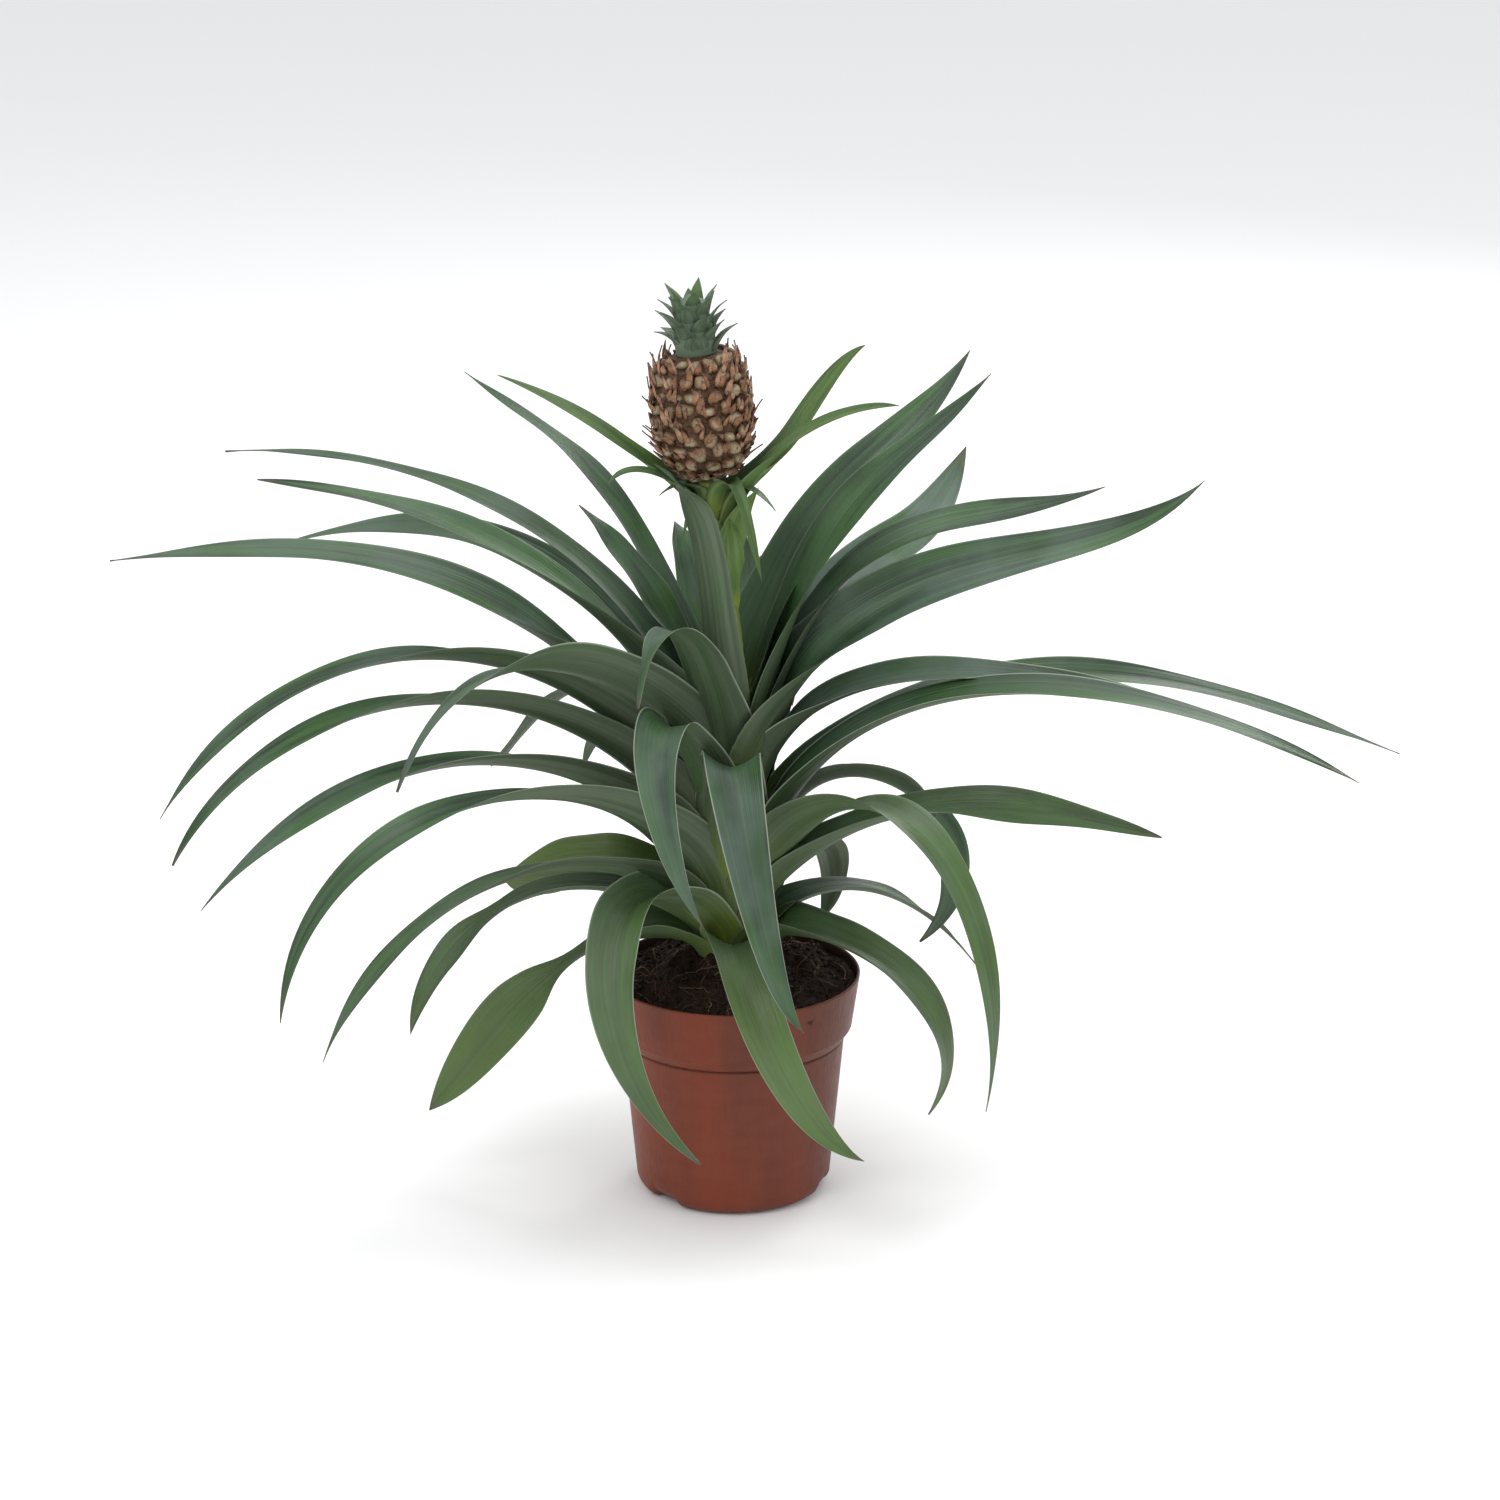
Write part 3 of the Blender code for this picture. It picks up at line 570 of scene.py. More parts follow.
def makePotMaterial(shape):
    material, tree, shader = startMaterial("terracottaPlastic", shape["roughness"], 0.22)
    patches = useGroup(tree, mottle, {"Cloud Scale": 30.0, "Grain Scale": 900.0, "Stretch": (1.0, 1.0, 0.12)})
    colour = blendColour(tree, times(tree, patches["Cloud"], 0.75), shape["colour"], shape["shade"])
    scuffs = useGroup(tree, mottle, {"Cloud Scale": 60.0, "Grain Scale": 260.0, "Stretch": (1.0, 1.0, 3.0)})
    colour = blendColour(tree, times(tree, scuffs["Cloud"], 0.08), colour, shape["dust"])
    place = put(tree, "TexCoord").outputs["Object"]
    level = put(tree, "SeparateXYZ", None, {0: place}).outputs[2]
    # painted shade: a dark line along the groove under the collar's step, where the overhang shades the body
    groove = shape["height"] - shape["collarHeight"] - 0.0044
    away = calc(tree, "ABSOLUTE", calc(tree, "SUBTRACT", level, groove))
    shadeAndGrimeShare = times(tree, ease(tree, away, 0.0002, 0.0016, 0.5, 0.0),
                      ease(tree, scuffs["Grain"], 0.0, 1.0, 0.6, 1.0))
    gap = put(tree, "VectorMath", {"operation": "DISTANCE"}, {0: place, 1: shape["smudgePlace"]})
    speckle = calc(tree, "MULTIPLY_ADD", scuffs["Grain"], 0.0022, gap.outputs["Value"])
    smudge = ease(tree, speckle, 0.0020, 0.0038, 0.85, 0.0)
    flat = put(tree, "VectorMath", {"operation": "MULTIPLY"}, {0: place, 1: (1.0, 1.0, 0.0)}).outputs[0]
    reach = put(tree, "VectorMath", {"operation": "LENGTH"}, {0: flat}).outputs["Value"]
    spread = (shape["rimRadius"] - shape["collarFoot"]) / shape["collarHeight"]
    outer = calc(tree, "MULTIPLY_ADD", level, spread, shape["rimRadius"] - shape["height"] * spread)
    inside = ease(tree, calc(tree, "SUBTRACT", outer, reach), 0.0007, 0.0012, 0.0, 0.9)
    inside = times(tree, inside, ease(tree, level, 0.084, 0.086))
    shadeAndGrimeShare = calc(tree, "MAXIMUM", shadeAndGrimeShare, inside)
    # one dark colour for the soil dirt inside the rim, the smudge on the collar and the painted shade in the groove
    colour = blendColour(tree, calc(tree, "MAXIMUM", shadeAndGrimeShare, smudge), colour, shape["grimeAndShade"])
    rough = calc(tree, "MULTIPLY_ADD", patches["Grain"], 0.10, shape["roughness"] - 0.05)
    tree.links.new(calc(tree, "MULTIPLY_ADD", smudge, 0.3, rough), shader.inputs["Roughness"])
    dress(tree, shader, colour, patches["Grain"], 0.00005)
    return material


def makePot(shape):
    # one closed profile, from the floor up the inside, over the round lip, down the collar, its step and the
    # body, and round the foot to the axis, turned about Z; the foot is lifted with an S-curve at each slot
    step = shape["height"] - shape["collarHeight"]
    wall, half = shape["wall"], shape["wall"] / 2
    footCentre = (shape["bodyFoot"] - shape["rounding"], shape["rounding"])
    lip = arc((shape["rimRadius"] - half, shape["height"] - half), half, 180, 0, 9)
    inside = [(0.0, shape["floor"]), (footCentre[0], shape["floor"])]
    inside += arc((footCentre[0], shape["rounding"]), shape["rounding"] - wall, -75, 0, 6)
    inside += [(shape["bodyTop"] - wall, step - 0.003), (shape["collarFoot"] - wall, step + 0.002)]
    collar, body = shape["collarFoot"], shape["bodyTop"]
    outside = [(collar + 0.0001, step + 0.0008), (collar - 0.0002, step + 0.0002), (collar - 0.0008, step),
               (body + 0.0010, step - 0.0036), (body + 0.0006, step - 0.0041), (body - 0.0008, step - 0.0043),
               (body - 0.0008, step - 0.0048), (body + 0.0001, step - 0.0053)]
    foot = arc(footCentre, shape["rounding"], 0, -90, 12)
    radii, heights = resample(inside + lip + outside + foot + [(0.0, 0.0)], 0.002)
    points, angle = turnProfile(radii, heights, shape["sides"])
    away = np.abs((angle[None, :] - np.radians(shape["slotAngles"])[:, None] + np.pi) % (2 * np.pi) - np.pi)
    wide = shape["slotWidth"]
    notch = (1 - smoothStep(0.42 * wide, 0.58 * wide, away * shape["bodyFoot"])).max(axis=0)
    near = smoothStep(0.030, 0.036, radii) * (1 - smoothStep(0.004, 0.011, heights))
    points[..., 2] += shape["slotHeight"] * near[:, None] * notch[None, :]
    faces = gridFaces(len(radii), shape["sides"])
    return makePiece("potShell", points, faces, makePotMaterial(shape), "pot")


makePot(potShape)
print("pot")


soilShape = {
    "edge": 0.103, "socket": 0.088, "socketRadius": 0.0154, "lump": 0.00384,
    "moundRadii": (0.0154, 0.0174, 0.032, 0.048, 0.0574), "moundHeights": (0.1165, 0.1170, 0.1115, 0.1055, 0.1030),
    "crumbs": 760, "fibres": 90, "sides": 200,
    "dark": tint(20, 16, 15), "brown": tint(48, 35, 28), "rust": tint(84, 56, 38),
    "fibreDark": tint(74, 50, 36), "fibrePale": tint(150, 124, 88),
}


def roughness2d(x, y, seed, sizes):
    # sum of sine ripples in seeded directions, each set finer and lower than the one before
    dice = np.random.default_rng(seed)
    total = np.zeros_like(x)
    for size in sizes:
        for turn, phase in zip(dice.uniform(0, 2 * np.pi, 7), dice.uniform(0, 2 * np.pi, 7)):
            along = x * math.cos(turn) + y * math.sin(turn)
            total += np.sin(along * 2 * np.pi / size + phase) * size / sizes[0] / 7
    return total


def soilHeight(x, y):
    # mound falling from the stem to the pot's edge, with seeded lumps
    ground = np.interp(np.hypot(x, y), soilShape["moundRadii"], soilShape["moundHeights"])
    return ground + soilShape["lump"] * roughness2d(x, y, 4, (0.021, 0.011, 0.005, 0.0026))


def makeSoilMaterial(shape):
    material, tree, shader = startMaterial("peatSoil", 0.92, 0.25)
    patches = useGroup(tree, mottle, {"Cloud Scale": 260.0, "Grain Scale": 1500.0})
    broad = useGroup(tree, mottle, {"Cloud Scale": 55.0, "Grain Scale": 700.0})
    colour = blendColour(tree, patches["Cloud"], shape["dark"], shape["brown"])
    colour = blendColour(tree, times(tree, broad["Grain"], 0.35), colour, shape["rust"])
    dress(tree, shader, colour, calc(tree, "ADD", patches["Cloud"], patches["Grain"]), 0.0006)
    return material


def makeSoil(shape, material):
    # the fill's profile turned about Z, its top moved to the mound's height, less so against the wall
    wall = potShape["wall"] + 0.0004
    step = potShape["height"] - potShape["collarHeight"]
    share = (shape["edge"] - step) / potShape["collarHeight"]
    edge = potShape["collarFoot"] + (potShape["rimRadius"] - potShape["collarFoot"]) * share - wall
    hole = shape["socketRadius"]
    corners = [(0.0, shape["socket"]), (hole, shape["socket"]), (hole, 0.1163), (0.0174, 0.1170), (edge, 0.1025),
               (potShape["collarFoot"] - wall, step + 0.003), (potShape["bodyTop"] - wall, step - 0.003),
               (potShape["bodyFoot"] - wall + 0.0002, 0.012), (potShape["bodyFoot"] - 0.010, 0.0036), (0.0, 0.0036)]
    radii, heights = resample(corners, 0.0011)
    points, _ = turnProfile(radii, heights, shape["sides"])
    top = (heights > 0.1024) & (radii > 0.0165)
    fade = (top * (1 - smoothStep(edge - 0.003, edge, radii) * 0.6))[:, None]
    points[..., 2] += fade * (soilHeight(points[..., 0], points[..., 1]) - points[..., 2])
    return makePiece("soilTop", points, gridFaces(len(radii), shape["sides"]), material, "soil")


def makeCrumbs(shape, material):
    # little balls, each squashed by its own ripples, half sunk where the soil's surface is
    dice = np.random.default_rng(11)
    count, rows, columns = shape["crumbs"], 5, 7
    spin = dice.uniform(0, 2 * np.pi, count)
    reach = np.sqrt(dice.uniform(0.018 ** 2, 0.0555 ** 2, count))
    centre = np.stack([reach * np.cos(spin), reach * np.sin(spin)], axis=-1)
    size = dice.uniform(0.0005, 0.0019, count) * dice.uniform(0.6, 1.0, count)
    polar = np.linspace(0, np.pi, rows)[None, :, None]
    around = np.linspace(0, 2 * np.pi, columns, endpoint=False)[None, None, :]
    phase = dice.uniform(0, 2 * np.pi, (count, 1, 1))
    ball = 1 + 0.25 * np.sin(2 * around + phase) * np.sin(polar) + 0.2 * np.cos(2 * polar + phase)
    points = np.empty((count, rows, columns, 3))
    ball = size[:, None, None] * ball
    points[..., 0] = centre[:, 0, None, None] + ball * np.sin(polar) * np.cos(around)
    points[..., 1] = centre[:, 1, None, None] + ball * np.sin(polar) * np.sin(around)
    ground = soilHeight(centre[:, 0], centre[:, 1])
    points[..., 2] = (ground + size * 0.25)[:, None, None] + ball * np.cos(polar) * 0.8
    return makePiece("soilCrumbs", points, gridFaces(rows, columns, count), material)


def makeFibreMaterial(shape):
    material, tree, shader = startMaterial("rootFibre", 0.75, 0.3)
    patches = useGroup(tree, mottle, {"Cloud Scale": 40.0, "Grain Scale": 900.0})
    share = times(tree, mark(tree, "pale"), ease(tree, patches["Cloud"], 0.0, 1.0, 0.6, 1.0))
    dress(tree, shader, blendColour(tree, share, shape["fibreDark"], shape["fibrePale"]), patches["Grain"], 0.0001)
    return material


def makeFibres(shape):
    # thin tubes along gently bent paths that rest on the soil, their ends dipping into it
    dice = np.random.default_rng(23)
    count, rows, columns = shape["fibres"], 14, 5
    run = np.linspace(-1, 1, rows)[None, :]
    spin = dice.uniform(0, 2 * np.pi, count)
    reach = np.sqrt(dice.uniform(0.020 ** 2, 0.052 ** 2, count))
    heading = dice.uniform(0, 2 * np.pi, count)[:, None]
    length = (dice.uniform(0.003, 0.012, count) * dice.uniform(0.5, 1.9, count))[:, None]
    bend = dice.uniform(-0.35, 0.35, count)[:, None]
    along, aside = run * length, length * bend * run ** 2 + length * 0.08 * np.sin(run * 7 + heading * 3)
    x = (reach * np.cos(spin))[:, None] + along * np.cos(heading) - aside * np.sin(heading)
    y = (reach * np.sin(spin))[:, None] + along * np.sin(heading) + aside * np.cos(heading)
    shrink = np.minimum(1, 0.0555 / np.maximum(np.hypot(x, y), 1e-6))
    x, y = x * shrink, y * shrink
    lift = dice.uniform(0.0002, 0.0016, count)[:, None]
    z = soilHeight(x, y) + lift * (1 - run ** 2 * 1.6) + 0.0003
    line = np.stack([x, y, z], axis=-1)
    across = roundFrame(heading[:, 0])[1][:, None, :]
    thin = dice.uniform(0.00012, 0.00036, count)[:, None] * (1 - 0.5 * run ** 2)
    points = carryBlade(line, across, thin, thin, np.ones(thin.shape), np.zeros(thin.shape), columns)
    pale = np.repeat(dice.uniform(0, 1, count) ** 2, (rows + 2) * columns)
    return makePiece("soilFibres", points, gridFaces(rows + 2, columns, count), makeFibreMaterial(shape),
                     None, None, {"pale": pale})


soilMaterial = makeSoilMaterial(soilShape)
makeSoil(soilShape, soilMaterial)
makeCrumbs(soilShape, soilMaterial)
makeFibres(soilShape)
print("soil")


stalkLook = {"green": tint(104, 128, 58), "pale": tint(150, 162, 84), "scar": tint(92, 92, 48)}


def makeStalkMaterial(look):
    material, tree, shader = startMaterial("stalkSkin", 0.5, 0.45)
    patches = useGroup(tree, mottle, {"Cloud Scale": 90.0, "Grain Scale": 500.0, "Stretch": (1.0, 1.0, 0.25)})
    rings = useGroup(tree, mottle, {"Cloud Scale": 70.0, "Grain Scale": 500.0, "Stretch": (0.2, 0.2, 2.2)})
    colour = blendColour(tree, patches["Cloud"], look["green"], look["pale"])
    colour = blendColour(tree, times(tree, rings["Cloud"], 0.4), colour, look["scar"])
    dress(tree, shader, colour, patches["Cloud"], 0.0002)
    return material


def makeStem(shape):
    # circles of the stem's radius stacked along its leaning axis, ribbed lightly lengthwise
    rows, columns = 150, 40
    height = np.linspace(shape["heights"][0], shape["heights"][-1], rows) * mm
    angle = np.linspace(0, 2 * np.pi, columns, endpoint=False)
    ribs = 1 + 0.035 * np.sin(angle * 7)[None, :] * smoothStep(0.25, 0.30, height)[:, None]
    ringWave = 1 + 0.02 * np.sin(height * 900)[:, None]
    radius = stemRadius(height)[:, None] * ribs * ringWave * 0.985
    points = np.empty((rows + 2, columns, 3))
    points[1:-1, :, 0] = stemAxis(height)[:, None] + radius * np.cos(angle)
    points[1:-1, :, 1] = radius * np.sin(angle)
    points[1:-1, :, 2] = height[:, None]
    points[0] = (stemAxis(height[0]), 0, height[0])
    points[-1] = (stemAxis(height[-1]), 0, height[-1] + 0.0006)
    material = makeStalkMaterial(stalkLook)
    return makePiece("stalk", points, gridFaces(rows + 2, columns), material, "stem")


makeStem(stemShape)
print("stem")


fruitShape = {
    "halfHeight": 0.0286, "radius": 0.0214, "squareness": 2.35, "shoulder": 1.3, "tilt": math.radians(-5),
    "columns": 15, "rows": 9, "eyeRings": 8, "eyeSides": 12, "scaleRows": 8, "scaleSides": 8,
    "eyeWide": (0.0026, 0.0042), "eyeTall": (0.0022, 0.0037), "eyeBulge": (0.0014, 0.0030), "eyeShift": 0.0012,
    "gap": tint(74, 52, 34), "eye": tint(128, 112, 80), "eyeCrestHighlight": tint(164, 158, 134),
    "eyeWarm": tint(126, 88, 64), "scale": tint(132, 90, 62), "scalePale": tint(182, 142, 114),
    "scaleTip": tint(78, 56, 52),
}


def tiltMatrix(angle):
    # turn about the Y axis
    sine, cosine = math.sin(angle), math.cos(angle)
    return np.array([[cosine, 0, sine], [0, 1, 0], [-sine, 0, cosine]])


fruitFoot = np.array([float(stemAxis(0.345)), 0.0, 0.3474])
fruitCentre = fruitFoot + tiltMatrix(fruitShape["tilt"]) @ np.array([0, 0, fruitShape["halfHeight"]])


def barrel(level, around, swell=0.0):
    # barrel whose girth falls off with a power of the level, -1 at the foot and 1 at the top
    shape = fruitShape
    power = shape["squareness"] + shape["shoulder"] * np.maximum(0, level)
    girth = (1 - np.abs(level) ** power) ** (1 / power)
    radius = shape["radius"] * girth + swell * np.minimum(1, 2 * girth)
    height = shape["halfHeight"] * level + 0 * radius   # spread over the whole grid
    return np.stack([radius * np.cos(around), radius * np.sin(around), height], axis=-1)


def makeRindMaterial(shape):
    material, tree, shader = startMaterial("pineappleRind", 0.62, 0.30)
    patches = useGroup(tree, mottle, {"Cloud Scale": 160.0, "Grain Scale": 1100.0})
    blotches = useGroup(tree, mottle, {"Cloud Scale": 420.0, "Grain Scale": 1500.0})
    eye = blendColour(tree, mark(tree, "tone"), shape["eye"], shape["eyeWarm"])
    # painted highlight: the domed top of each eye is painted paler, as if lit from above
    crestHighlight = ease(tree, mark(tree, "dome"), 0.55, 0.98)
    crestHighlight = times(tree, crestHighlight, ease(tree, patches["Cloud"], 0.0, 1.0, 0.35, 0.9))
    eye = blendColour(tree, crestHighlight, eye, shape["eyeCrestHighlight"])
    rim = calc(tree, "MULTIPLY_ADD", blotches["Cloud"], 0.30, mark(tree, "dome"))
    skin = blendColour(tree, ease(tree, rim, 0.12, 0.95), shape["gap"], eye)
    skin = blendColour(tree, times(tree, blotches["Cloud"], 0.18), skin, shape["scale"])
    papery = blendColour(tree, mark(tree, "tone"), shape["scale"], shape["scalePale"])
    papery = blendColour(tree, times(tree, blotches["Cloud"], 0.5), papery, shape["eyeWarm"])
    papery = blendColour(tree, ease(tree, mark(tree, "reach"), 0.55, 1.0), papery, shape["scaleTip"])
    papery = blendColour(tree, ease(tree, mark(tree, "reach"), 0.0, 0.35, 0.9, 0.0), papery, shape["gap"])
    colour = blendColour(tree, mark(tree, "papery"), skin, papery)
    dress(tree, shader, colour, calc(tree, "ADD", blotches["Cloud"], patches["Cloud"]), 0.0007)
    return material


def makeEyes(shape, centre, across, slope, outward, dice):
    # flattened lumpy balls: x = wide sin f cos t, y = tall sin f sin t, z = bulge cos f, with the cosine and
    # sine of t raised to a power for square shoulders, two waves round the rim and z tipped along x and y
    count = len(centre)
    fall = np.linspace(0, np.pi, shape["eyeRings"])[None, :, None]
    angle = np.linspace(0, 2 * np.pi, shape["eyeSides"], endpoint=False)[None, None, :]
    wide, tall, bulge = (dice.uniform(*shape[label], (count, 1, 1)) for label in (
        "eyeWide", "eyeTall", "eyeBulge"))
    x = wide * np.sin(fall) * np.sign(np.cos(angle)) * np.abs(np.cos(angle)) ** 0.85
    y = tall * np.sin(fall) * np.sign(np.sin(angle)) * np.abs(np.sin(angle)) ** 0.85
    turned, phase = dice.uniform(0, 2 * np.pi, (2, count, 1, 1))
    lump = 1 + 0.13 * np.sin(2 * angle + turned) + 0.10 * np.sin(3 * angle + phase)
    x, y = x * lump, y * lump
    tipAcross, tipUp = dice.uniform(-0.50, 0.50, (2, count, 1, 1))
    z = bulge * np.cos(fall) + tipAcross * x + (tipUp + 0.12) * y
    shift = dice.uniform(-1, 1, (2, count, 1, 1)) * shape["eyeShift"]
    points = centre[:, :, None] + across[:, :, None] * (x + shift[0])[..., None]
    points = points + slope[:, :, None] * (y + shift[1])[..., None] + outward[:, :, None] * z[..., None]
    return points, np.broadcast_to(np.cos(fall), x.shape)


def makeFruit(shape):
    # dark barrel set with rows of pale eyes in a spiral lattice, and two papery scales at each eye that
    # lie over it along the barrel's slope and bow outward with the square of their run
    rows, columns = 70, 120
    level = np.sin(np.linspace(-np.pi / 2, np.pi / 2, rows))[:, None]
    around = np.linspace(0, 2 * np.pi, columns, endpoint=False)[None, :]
    body = barrel(level, around, 0.0003 * np.sin(23 * around + 9 * level) * np.sin(31 * level))
    dice = np.random.default_rng(7)
    lattice = np.arange(shape["rows"] * shape["columns"])
    line, column = np.divmod(lattice, shape["columns"])
    eyeLevel = ((line + 0.5) / shape["rows"] * 2 - 1)[:, None]
    eyeAround = ((column + 0.5 * (line % 2)) * 2 * np.pi / shape["columns"])[:, None]
    across = roundFrame(eyeAround)[1]
    place = barrel(eyeLevel, eyeAround)
    rise = unit(barrel(eyeLevel + 0.02, eyeAround) - barrel(eyeLevel - 0.02, eyeAround))
    eyes, eyeDome = makeEyes(shape, place, across, rise, np.cross(across, rise), dice)
    count = 2 * len(lattice)
    eyeLevel = np.concatenate([eyeLevel, eyeLevel + dice.uniform(-0.04, 0.10, eyeLevel.shape)])
    sideStep = dice.uniform(0.09, 0.16, eyeAround.shape) * np.sign(dice.uniform(-1, 1, eyeAround.shape))
    eyeAround = np.concatenate([eyeAround, eyeAround + sideStep])
    outward, across = roundFrame(eyeAround)
    footLevel = np.clip(eyeLevel - 0.12, -0.975, 0.93)
    run = np.linspace(0, 1, shape["scaleRows"])[None, :]
    footPlace = barrel(footLevel, eyeAround)
    slope = unit(barrel(footLevel + 0.02, eyeAround) - footPlace)
    slope = unit(slope + np.array([0, 0, 1]) * np.maximum(0, eyeLevel)[:, :, None] * 0.9)
    curled = (dice.uniform(0, 1, count) > 0.88)[:, None, None]
    short = (dice.uniform(0, 1, count) > 0.40)[:, None, None]
    length = (dice.uniform(0.0066, 0.0108, count)[:, None] * (1 + 0.20 * eyeLevel))[:, :, None]
    length = length * (1 - 0.35 * short * ~curled)
    bow = dice.uniform(-0.0008, 0.0010, count)[:, None, None] + curled * 0.0036
    lean = dice.uniform(-0.0036, 0.0036, count)[:, None, None]
    step = run[..., None]
    middle = footPlace + slope * length * step + across * lean * step ** 2
    middle = middle + outward * (0.0006 + 0.0018 * np.sin(np.pi * np.minimum(step, 0.5)) + bow * step ** 2)
    half = (1 - run ** 1.6) ** 0.9 * (0.7 + 0.6 * np.sin(np.pi * run)) * dice.uniform(0.0006, 0.0024, count)[:, None]
    half = half + 0.00020
    roll = dice.uniform(-0.7, 0.7, count)[:, None] * run
    thick, curl = np.full(half.shape, 0.00032), np.full(half.shape, 0.0020)
    scales = carryBlade(middle, across, half, thick, curl, roll, shape["scaleSides"])
    turn = tiltMatrix(shape["tilt"])
    points = np.concatenate([part.reshape(-1, 3) for part in (body, eyes, scales)]) @ turn.T + fruitCentre
    bodyCount, eyeCount, scaleCount = body.size // 3, eyes.size // 3, scales.size // 3
    reach = np.broadcast_to(np.concatenate([[0], run[0], [1]])[None, :, None], scales.shape[:3]).ravel()
    eyeFaces = gridFaces(shape["eyeRings"], shape["eyeSides"], count // 2)
    scaleFaces = gridFaces(shape["scaleRows"] + 2, shape["scaleSides"], count)
    faces = np.concatenate([gridFaces(rows, columns), eyeFaces + bodyCount, scaleFaces + bodyCount + eyeCount])
    eyeTones = np.repeat(dice.uniform(0, 1, count // 2) ** 1.3, 2 * eyeCount // count)
    scaleTones = np.repeat(dice.uniform(0, 1, count), scaleCount // count)
    marks = {
        "dome": np.concatenate([np.zeros(bodyCount), eyeDome.ravel(), np.zeros(scaleCount)]),
        "papery": np.concatenate([np.zeros(bodyCount + eyeCount), np.ones(scaleCount)]),
        "reach": np.concatenate([np.zeros(bodyCount + eyeCount), reach]),
        "tone": np.concatenate([np.zeros(bodyCount), eyeTones, scaleTones]),
    }
    return makePiece("pineapple", points, faces, makeRindMaterial(shape), "fruit", None, marks)


crownShape = {"leaves": 26, "coreHeight": 0.0235, "coreFoot": 0.0100, "coreTop": 0.0074, "tilt": math.radians(-7),
              "length": 0.0152, "width": 0.0130, "spiral": 137.508, "sides": 24, "sink": 0.0004}
crownLook = dict(leafLook, dark=tint(58, 76, 54), middle=tint(80, 97, 74), fresh=tint(86, 112, 68),
                 bloom=tint(106, 118, 106), bright=tint(94, 126, 72), under=tint(76, 93, 72),
                 underPale=tint(98, 114, 94), margin=tint(92, 100, 82), foot=tint(82, 106, 68),
                 tip=tint(82, 72, 66), roughness=0.5)


def makeCrown(shape, material):
    # pointed leaves set in a spiral up a tapering core, each rising close to it and then bending outward, as its
    # angle falls with the power 1.2 of its run
    count, rows, columns = shape["leaves"], 16, 10
    dice = np.random.default_rng(5)
    share = np.arange(count) / (count - 1)
    azimuth = np.arange(count) * math.radians(shape["spiral"])
    run = np.linspace(0, 1, rows)[None, :]
    length = shape["length"] * (1 - 0.15 * share - 0.15 * smoothStep(0.85, 1.0, share))
    length = (length * dice.uniform(0.9, 1.1, count))[:, None]
    steep = np.radians(66 + 10 * share + 12 * smoothStep(0.88, 1.0, share))[:, None]
    fall = np.radians(52 - 20 * share)[:, None] * dice.uniform(0.75, 1.2, count)[:, None]
    angle = steep - fall * run ** 1.2
    start = (shape["coreFoot"] + (shape["coreTop"] - shape["coreFoot"]) * share)[:, None] - 0.0012
    stepOut, stepUp = np.cos(angle) * length / (rows - 1), np.sin(angle) * length / (rows - 1)
    out = start + np.cumsum(stepOut, axis=1) - stepOut[:, :1]
    up = (0.0006 + share * (shape["coreHeight"] - 0.0015))[:, None] + np.cumsum(stepUp, axis=1) - stepUp[:, :1]
    line = np.stack([out * np.cos(azimuth)[:, None], out * np.sin(azimuth)[:, None], up], axis=-1)
    across = roundFrame(azimuth)[1][:, None, :]
    half = shape["width"] / 2 * (1 - run ** 1.5) * (1 - 0.35 * share)[:, None] + 0.00015
    thick = np.full(half.shape, 0.00045) * (1 - 0.5 * run)
    curl = start + 0.0012 - (start - 0.0042) * run ** 0.7
    blades = carryBlade(line, across, half, thick, curl, np.zeros(half.shape), columns)
    radii, heights = resample([(0.0, 0.0), (shape["coreFoot"] * 0.92, 0.0), (shape["coreFoot"] * 0.95, 0.005),
                               (shape["coreTop"], shape["coreHeight"]), (0.0, shape["coreHeight"] + 0.004)], 0.001)
    core, _ = turnProfile(radii, heights, shape["sides"])
    uv, upperMark = bladeUv(rows, columns)
    bladeUvs = np.broadcast_to(uv, (count, *uv.shape)).reshape(-1, 2)
    place = 2 * fruitCentre - fruitFoot - (0, 0, shape["sink"])
    turn = tiltMatrix(shape["tilt"])
    points = np.concatenate([blades.reshape(-1, 3), core.reshape(-1, 3)]) @ turn.T + place
    coreCount = core.shape[0] * core.shape[1]
    faces = np.concatenate([gridFaces(rows + 2, columns, count), gridFaces(*core.shape[:2]) + len(bladeUvs)])
    marks = {
        "upper": np.concatenate([np.broadcast_to(upperMark, (count, *upperMark.shape)).ravel(), np.zeros(coreCount)]),
        "seed": np.concatenate([np.repeat(share, upperMark.size), np.zeros(coreCount)]),
        "bloom": np.full(len(points), 0.6),
        "marginAndGlint": np.full(len(points), 0.3),
        "bright": np.concatenate([np.repeat(smoothStep(0.6, 1.0, share) * 0.7, upperMark.size), np.zeros(coreCount)]),
    }
    allUv = np.concatenate([bladeUvs, np.full((coreCount, 2), 0.5)])
    return makePiece("crownTuft", points, faces, material, "crown", allUv, marks)


makeFruit(fruitShape)
makeCrown(crownShape, makeLeafMaterial("crownBlade", crownLook))
print("fruit and crown")


setting = {
    "floorHalf": 16.0, "floorDrop": 0.0005, "floor": tint(243, 243, 242), "floorShade": tint(228, 228, 226),
    "sky": (0.97, 0.98, 1.0, 1.0), "skyStrength": 0.88,
    "keyPower": 18.0, "fillPower": 6.0, "topPower": 18.0, "backPower": 9.0,
    "aim": (0, 0, 0.22), "eye": (0.008, -1.880, 0.829), "pitch": 18.06, "lens": 102.2,
}


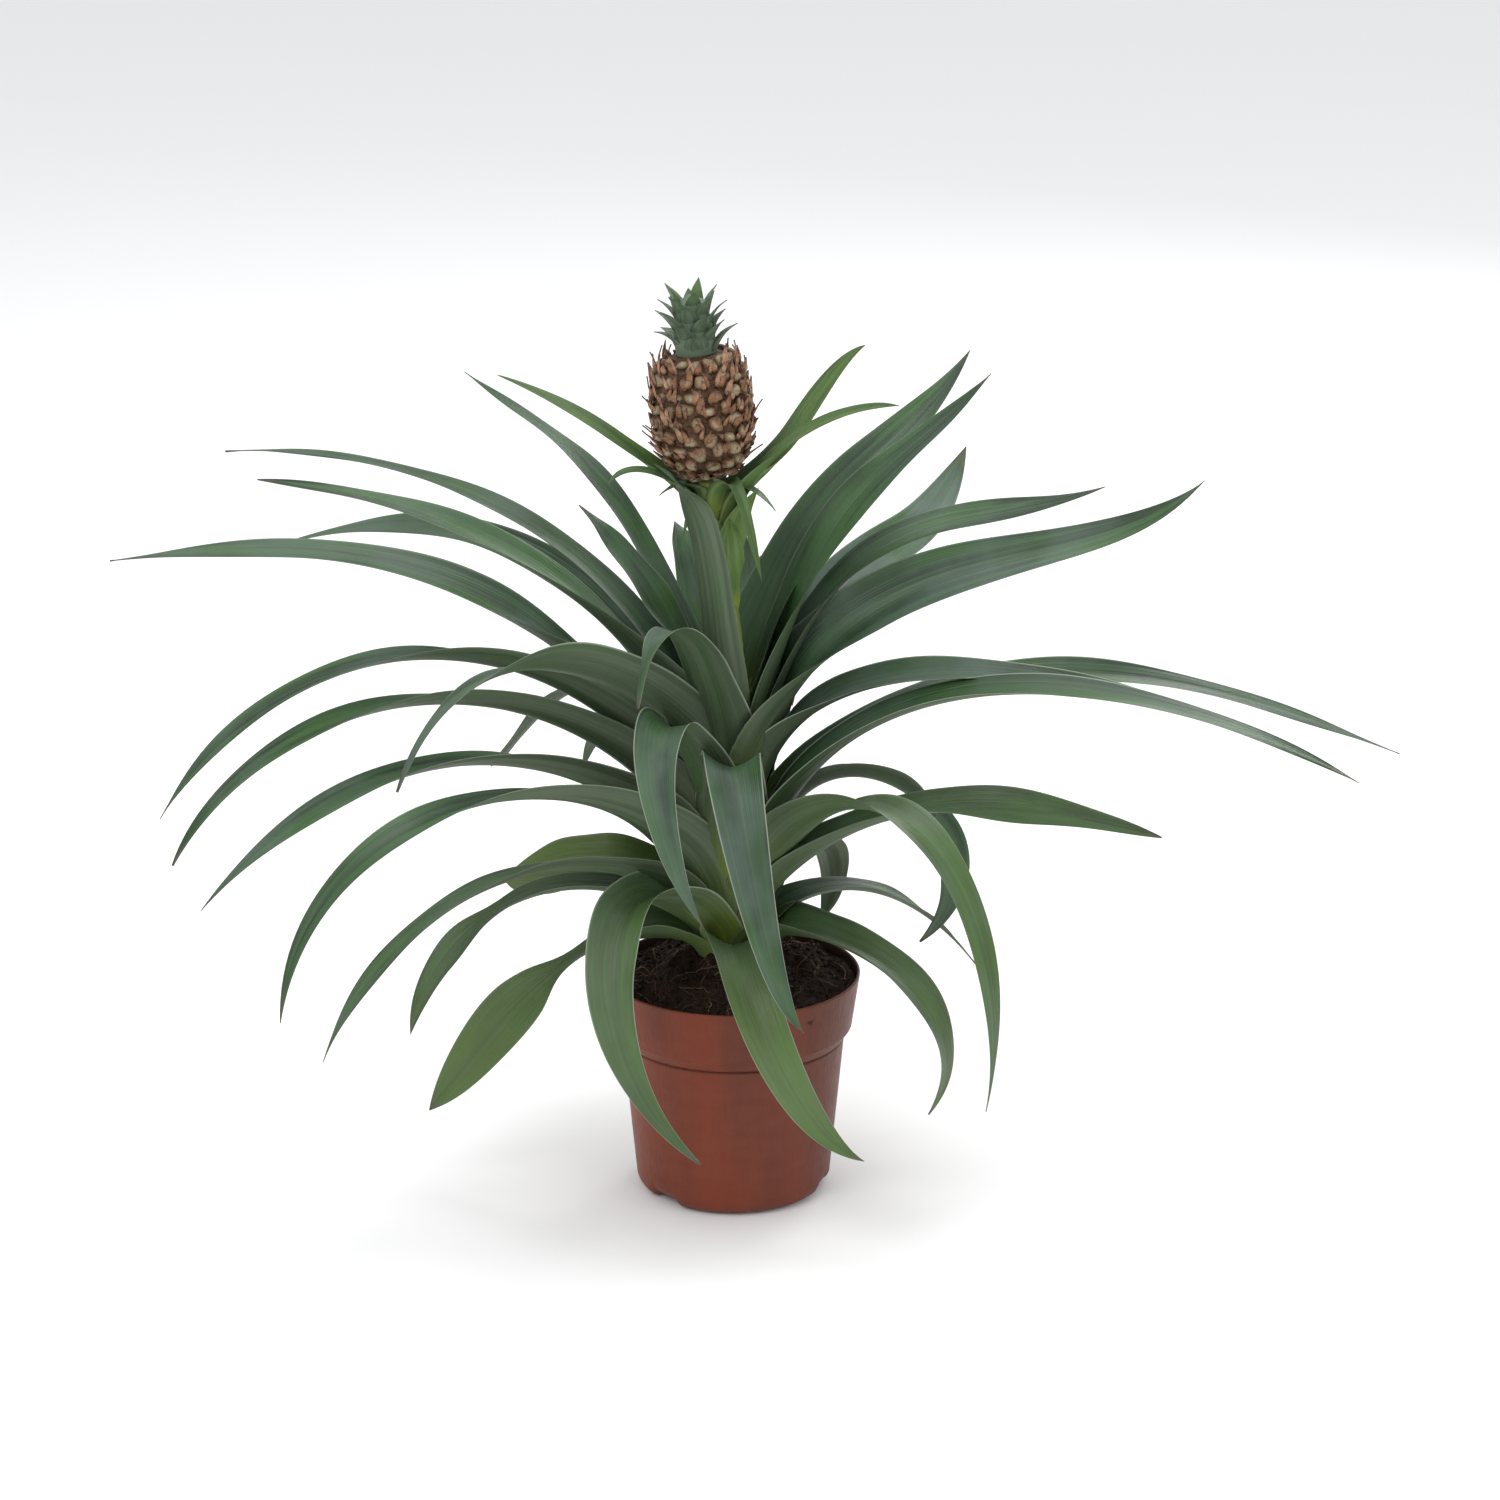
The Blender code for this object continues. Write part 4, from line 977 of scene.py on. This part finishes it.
def makeSetting(values):
    # a wide pale floor, four soft square lamps aimed at the plant and a camera that looks along Y, pitched down
    size, drop = values["floorHalf"], values["floorDrop"]
    mesh = bpy.data.meshes.new("floorSheet")
    corners = [(x * size, y * size, -drop) for x, y in ((-1, -1), (1, -1), (1, 1), (-1, 1))]
    mesh.from_pydata(corners, [], [(0, 1, 2, 3)])
    floor = bpy.data.objects.new("floorSheet", mesh)
    bpy.context.scene.collection.objects.link(floor)
    material, tree, shader = startMaterial("paleFloor", 0.9, 0.1)
    patches = useGroup(tree, mottle, {"Cloud Scale": 1.0, "Grain Scale": 200.0})
    colour = blendColour(tree, times(tree, patches["Cloud"], 0.05), values["floor"], values["floorShade"])
    tree.links.new(colour, shader.inputs["Base Color"])
    mesh.materials.append(material)
    world = bpy.data.worlds.new("softStudio")
    world.use_nodes = True
    world.node_tree.nodes["Background"].inputs[0].default_value = values["sky"]
    world.node_tree.nodes["Background"].inputs[1].default_value = values["skyStrength"]
    bpy.context.scene.world = world
    for name, place, size, power in (("keyLight", (-1.1, -1.5, 1.9), 1.3, values["keyPower"]),
                                     ("fillLight", (1.6, -1.2, 1.1), 1.4, values["fillPower"]),
                                     ("topLight", (0.1, 0.3, 2.0), 1.2, values["topPower"]),
                                     ("backLight", (0.9, 1.7, 1.1), 0.7, values["backPower"])):
        lamp = bpy.data.lights.new(name, "AREA")
        lamp.size = size
        lamp.energy = power
        light = bpy.data.objects.new(name, lamp)
        light.location = place
        towards = np.array(values["aim"]) - np.array(place)
        light.rotation_euler = (math.atan2(math.hypot(towards[0], towards[1]), -towards[2]), 0,
                                math.atan2(towards[1], towards[0]) - math.pi / 2)
        bpy.context.scene.collection.objects.link(light)
    lens = bpy.data.cameras.new("camera")
    lens.lens = values["lens"]
    lens.sensor_width = 36.0
    camera = bpy.data.objects.new("camera", lens)
    camera.location = values["eye"]
    camera.rotation_euler = (math.radians(90 - values["pitch"]), 0, 0)
    bpy.context.scene.collection.objects.link(camera)
    bpy.context.scene.camera = camera
    bpy.context.scene.view_settings.view_transform = "Standard"


makeSetting(setting)
print("floor, lights and camera")

bpy.context.view_layer.update()
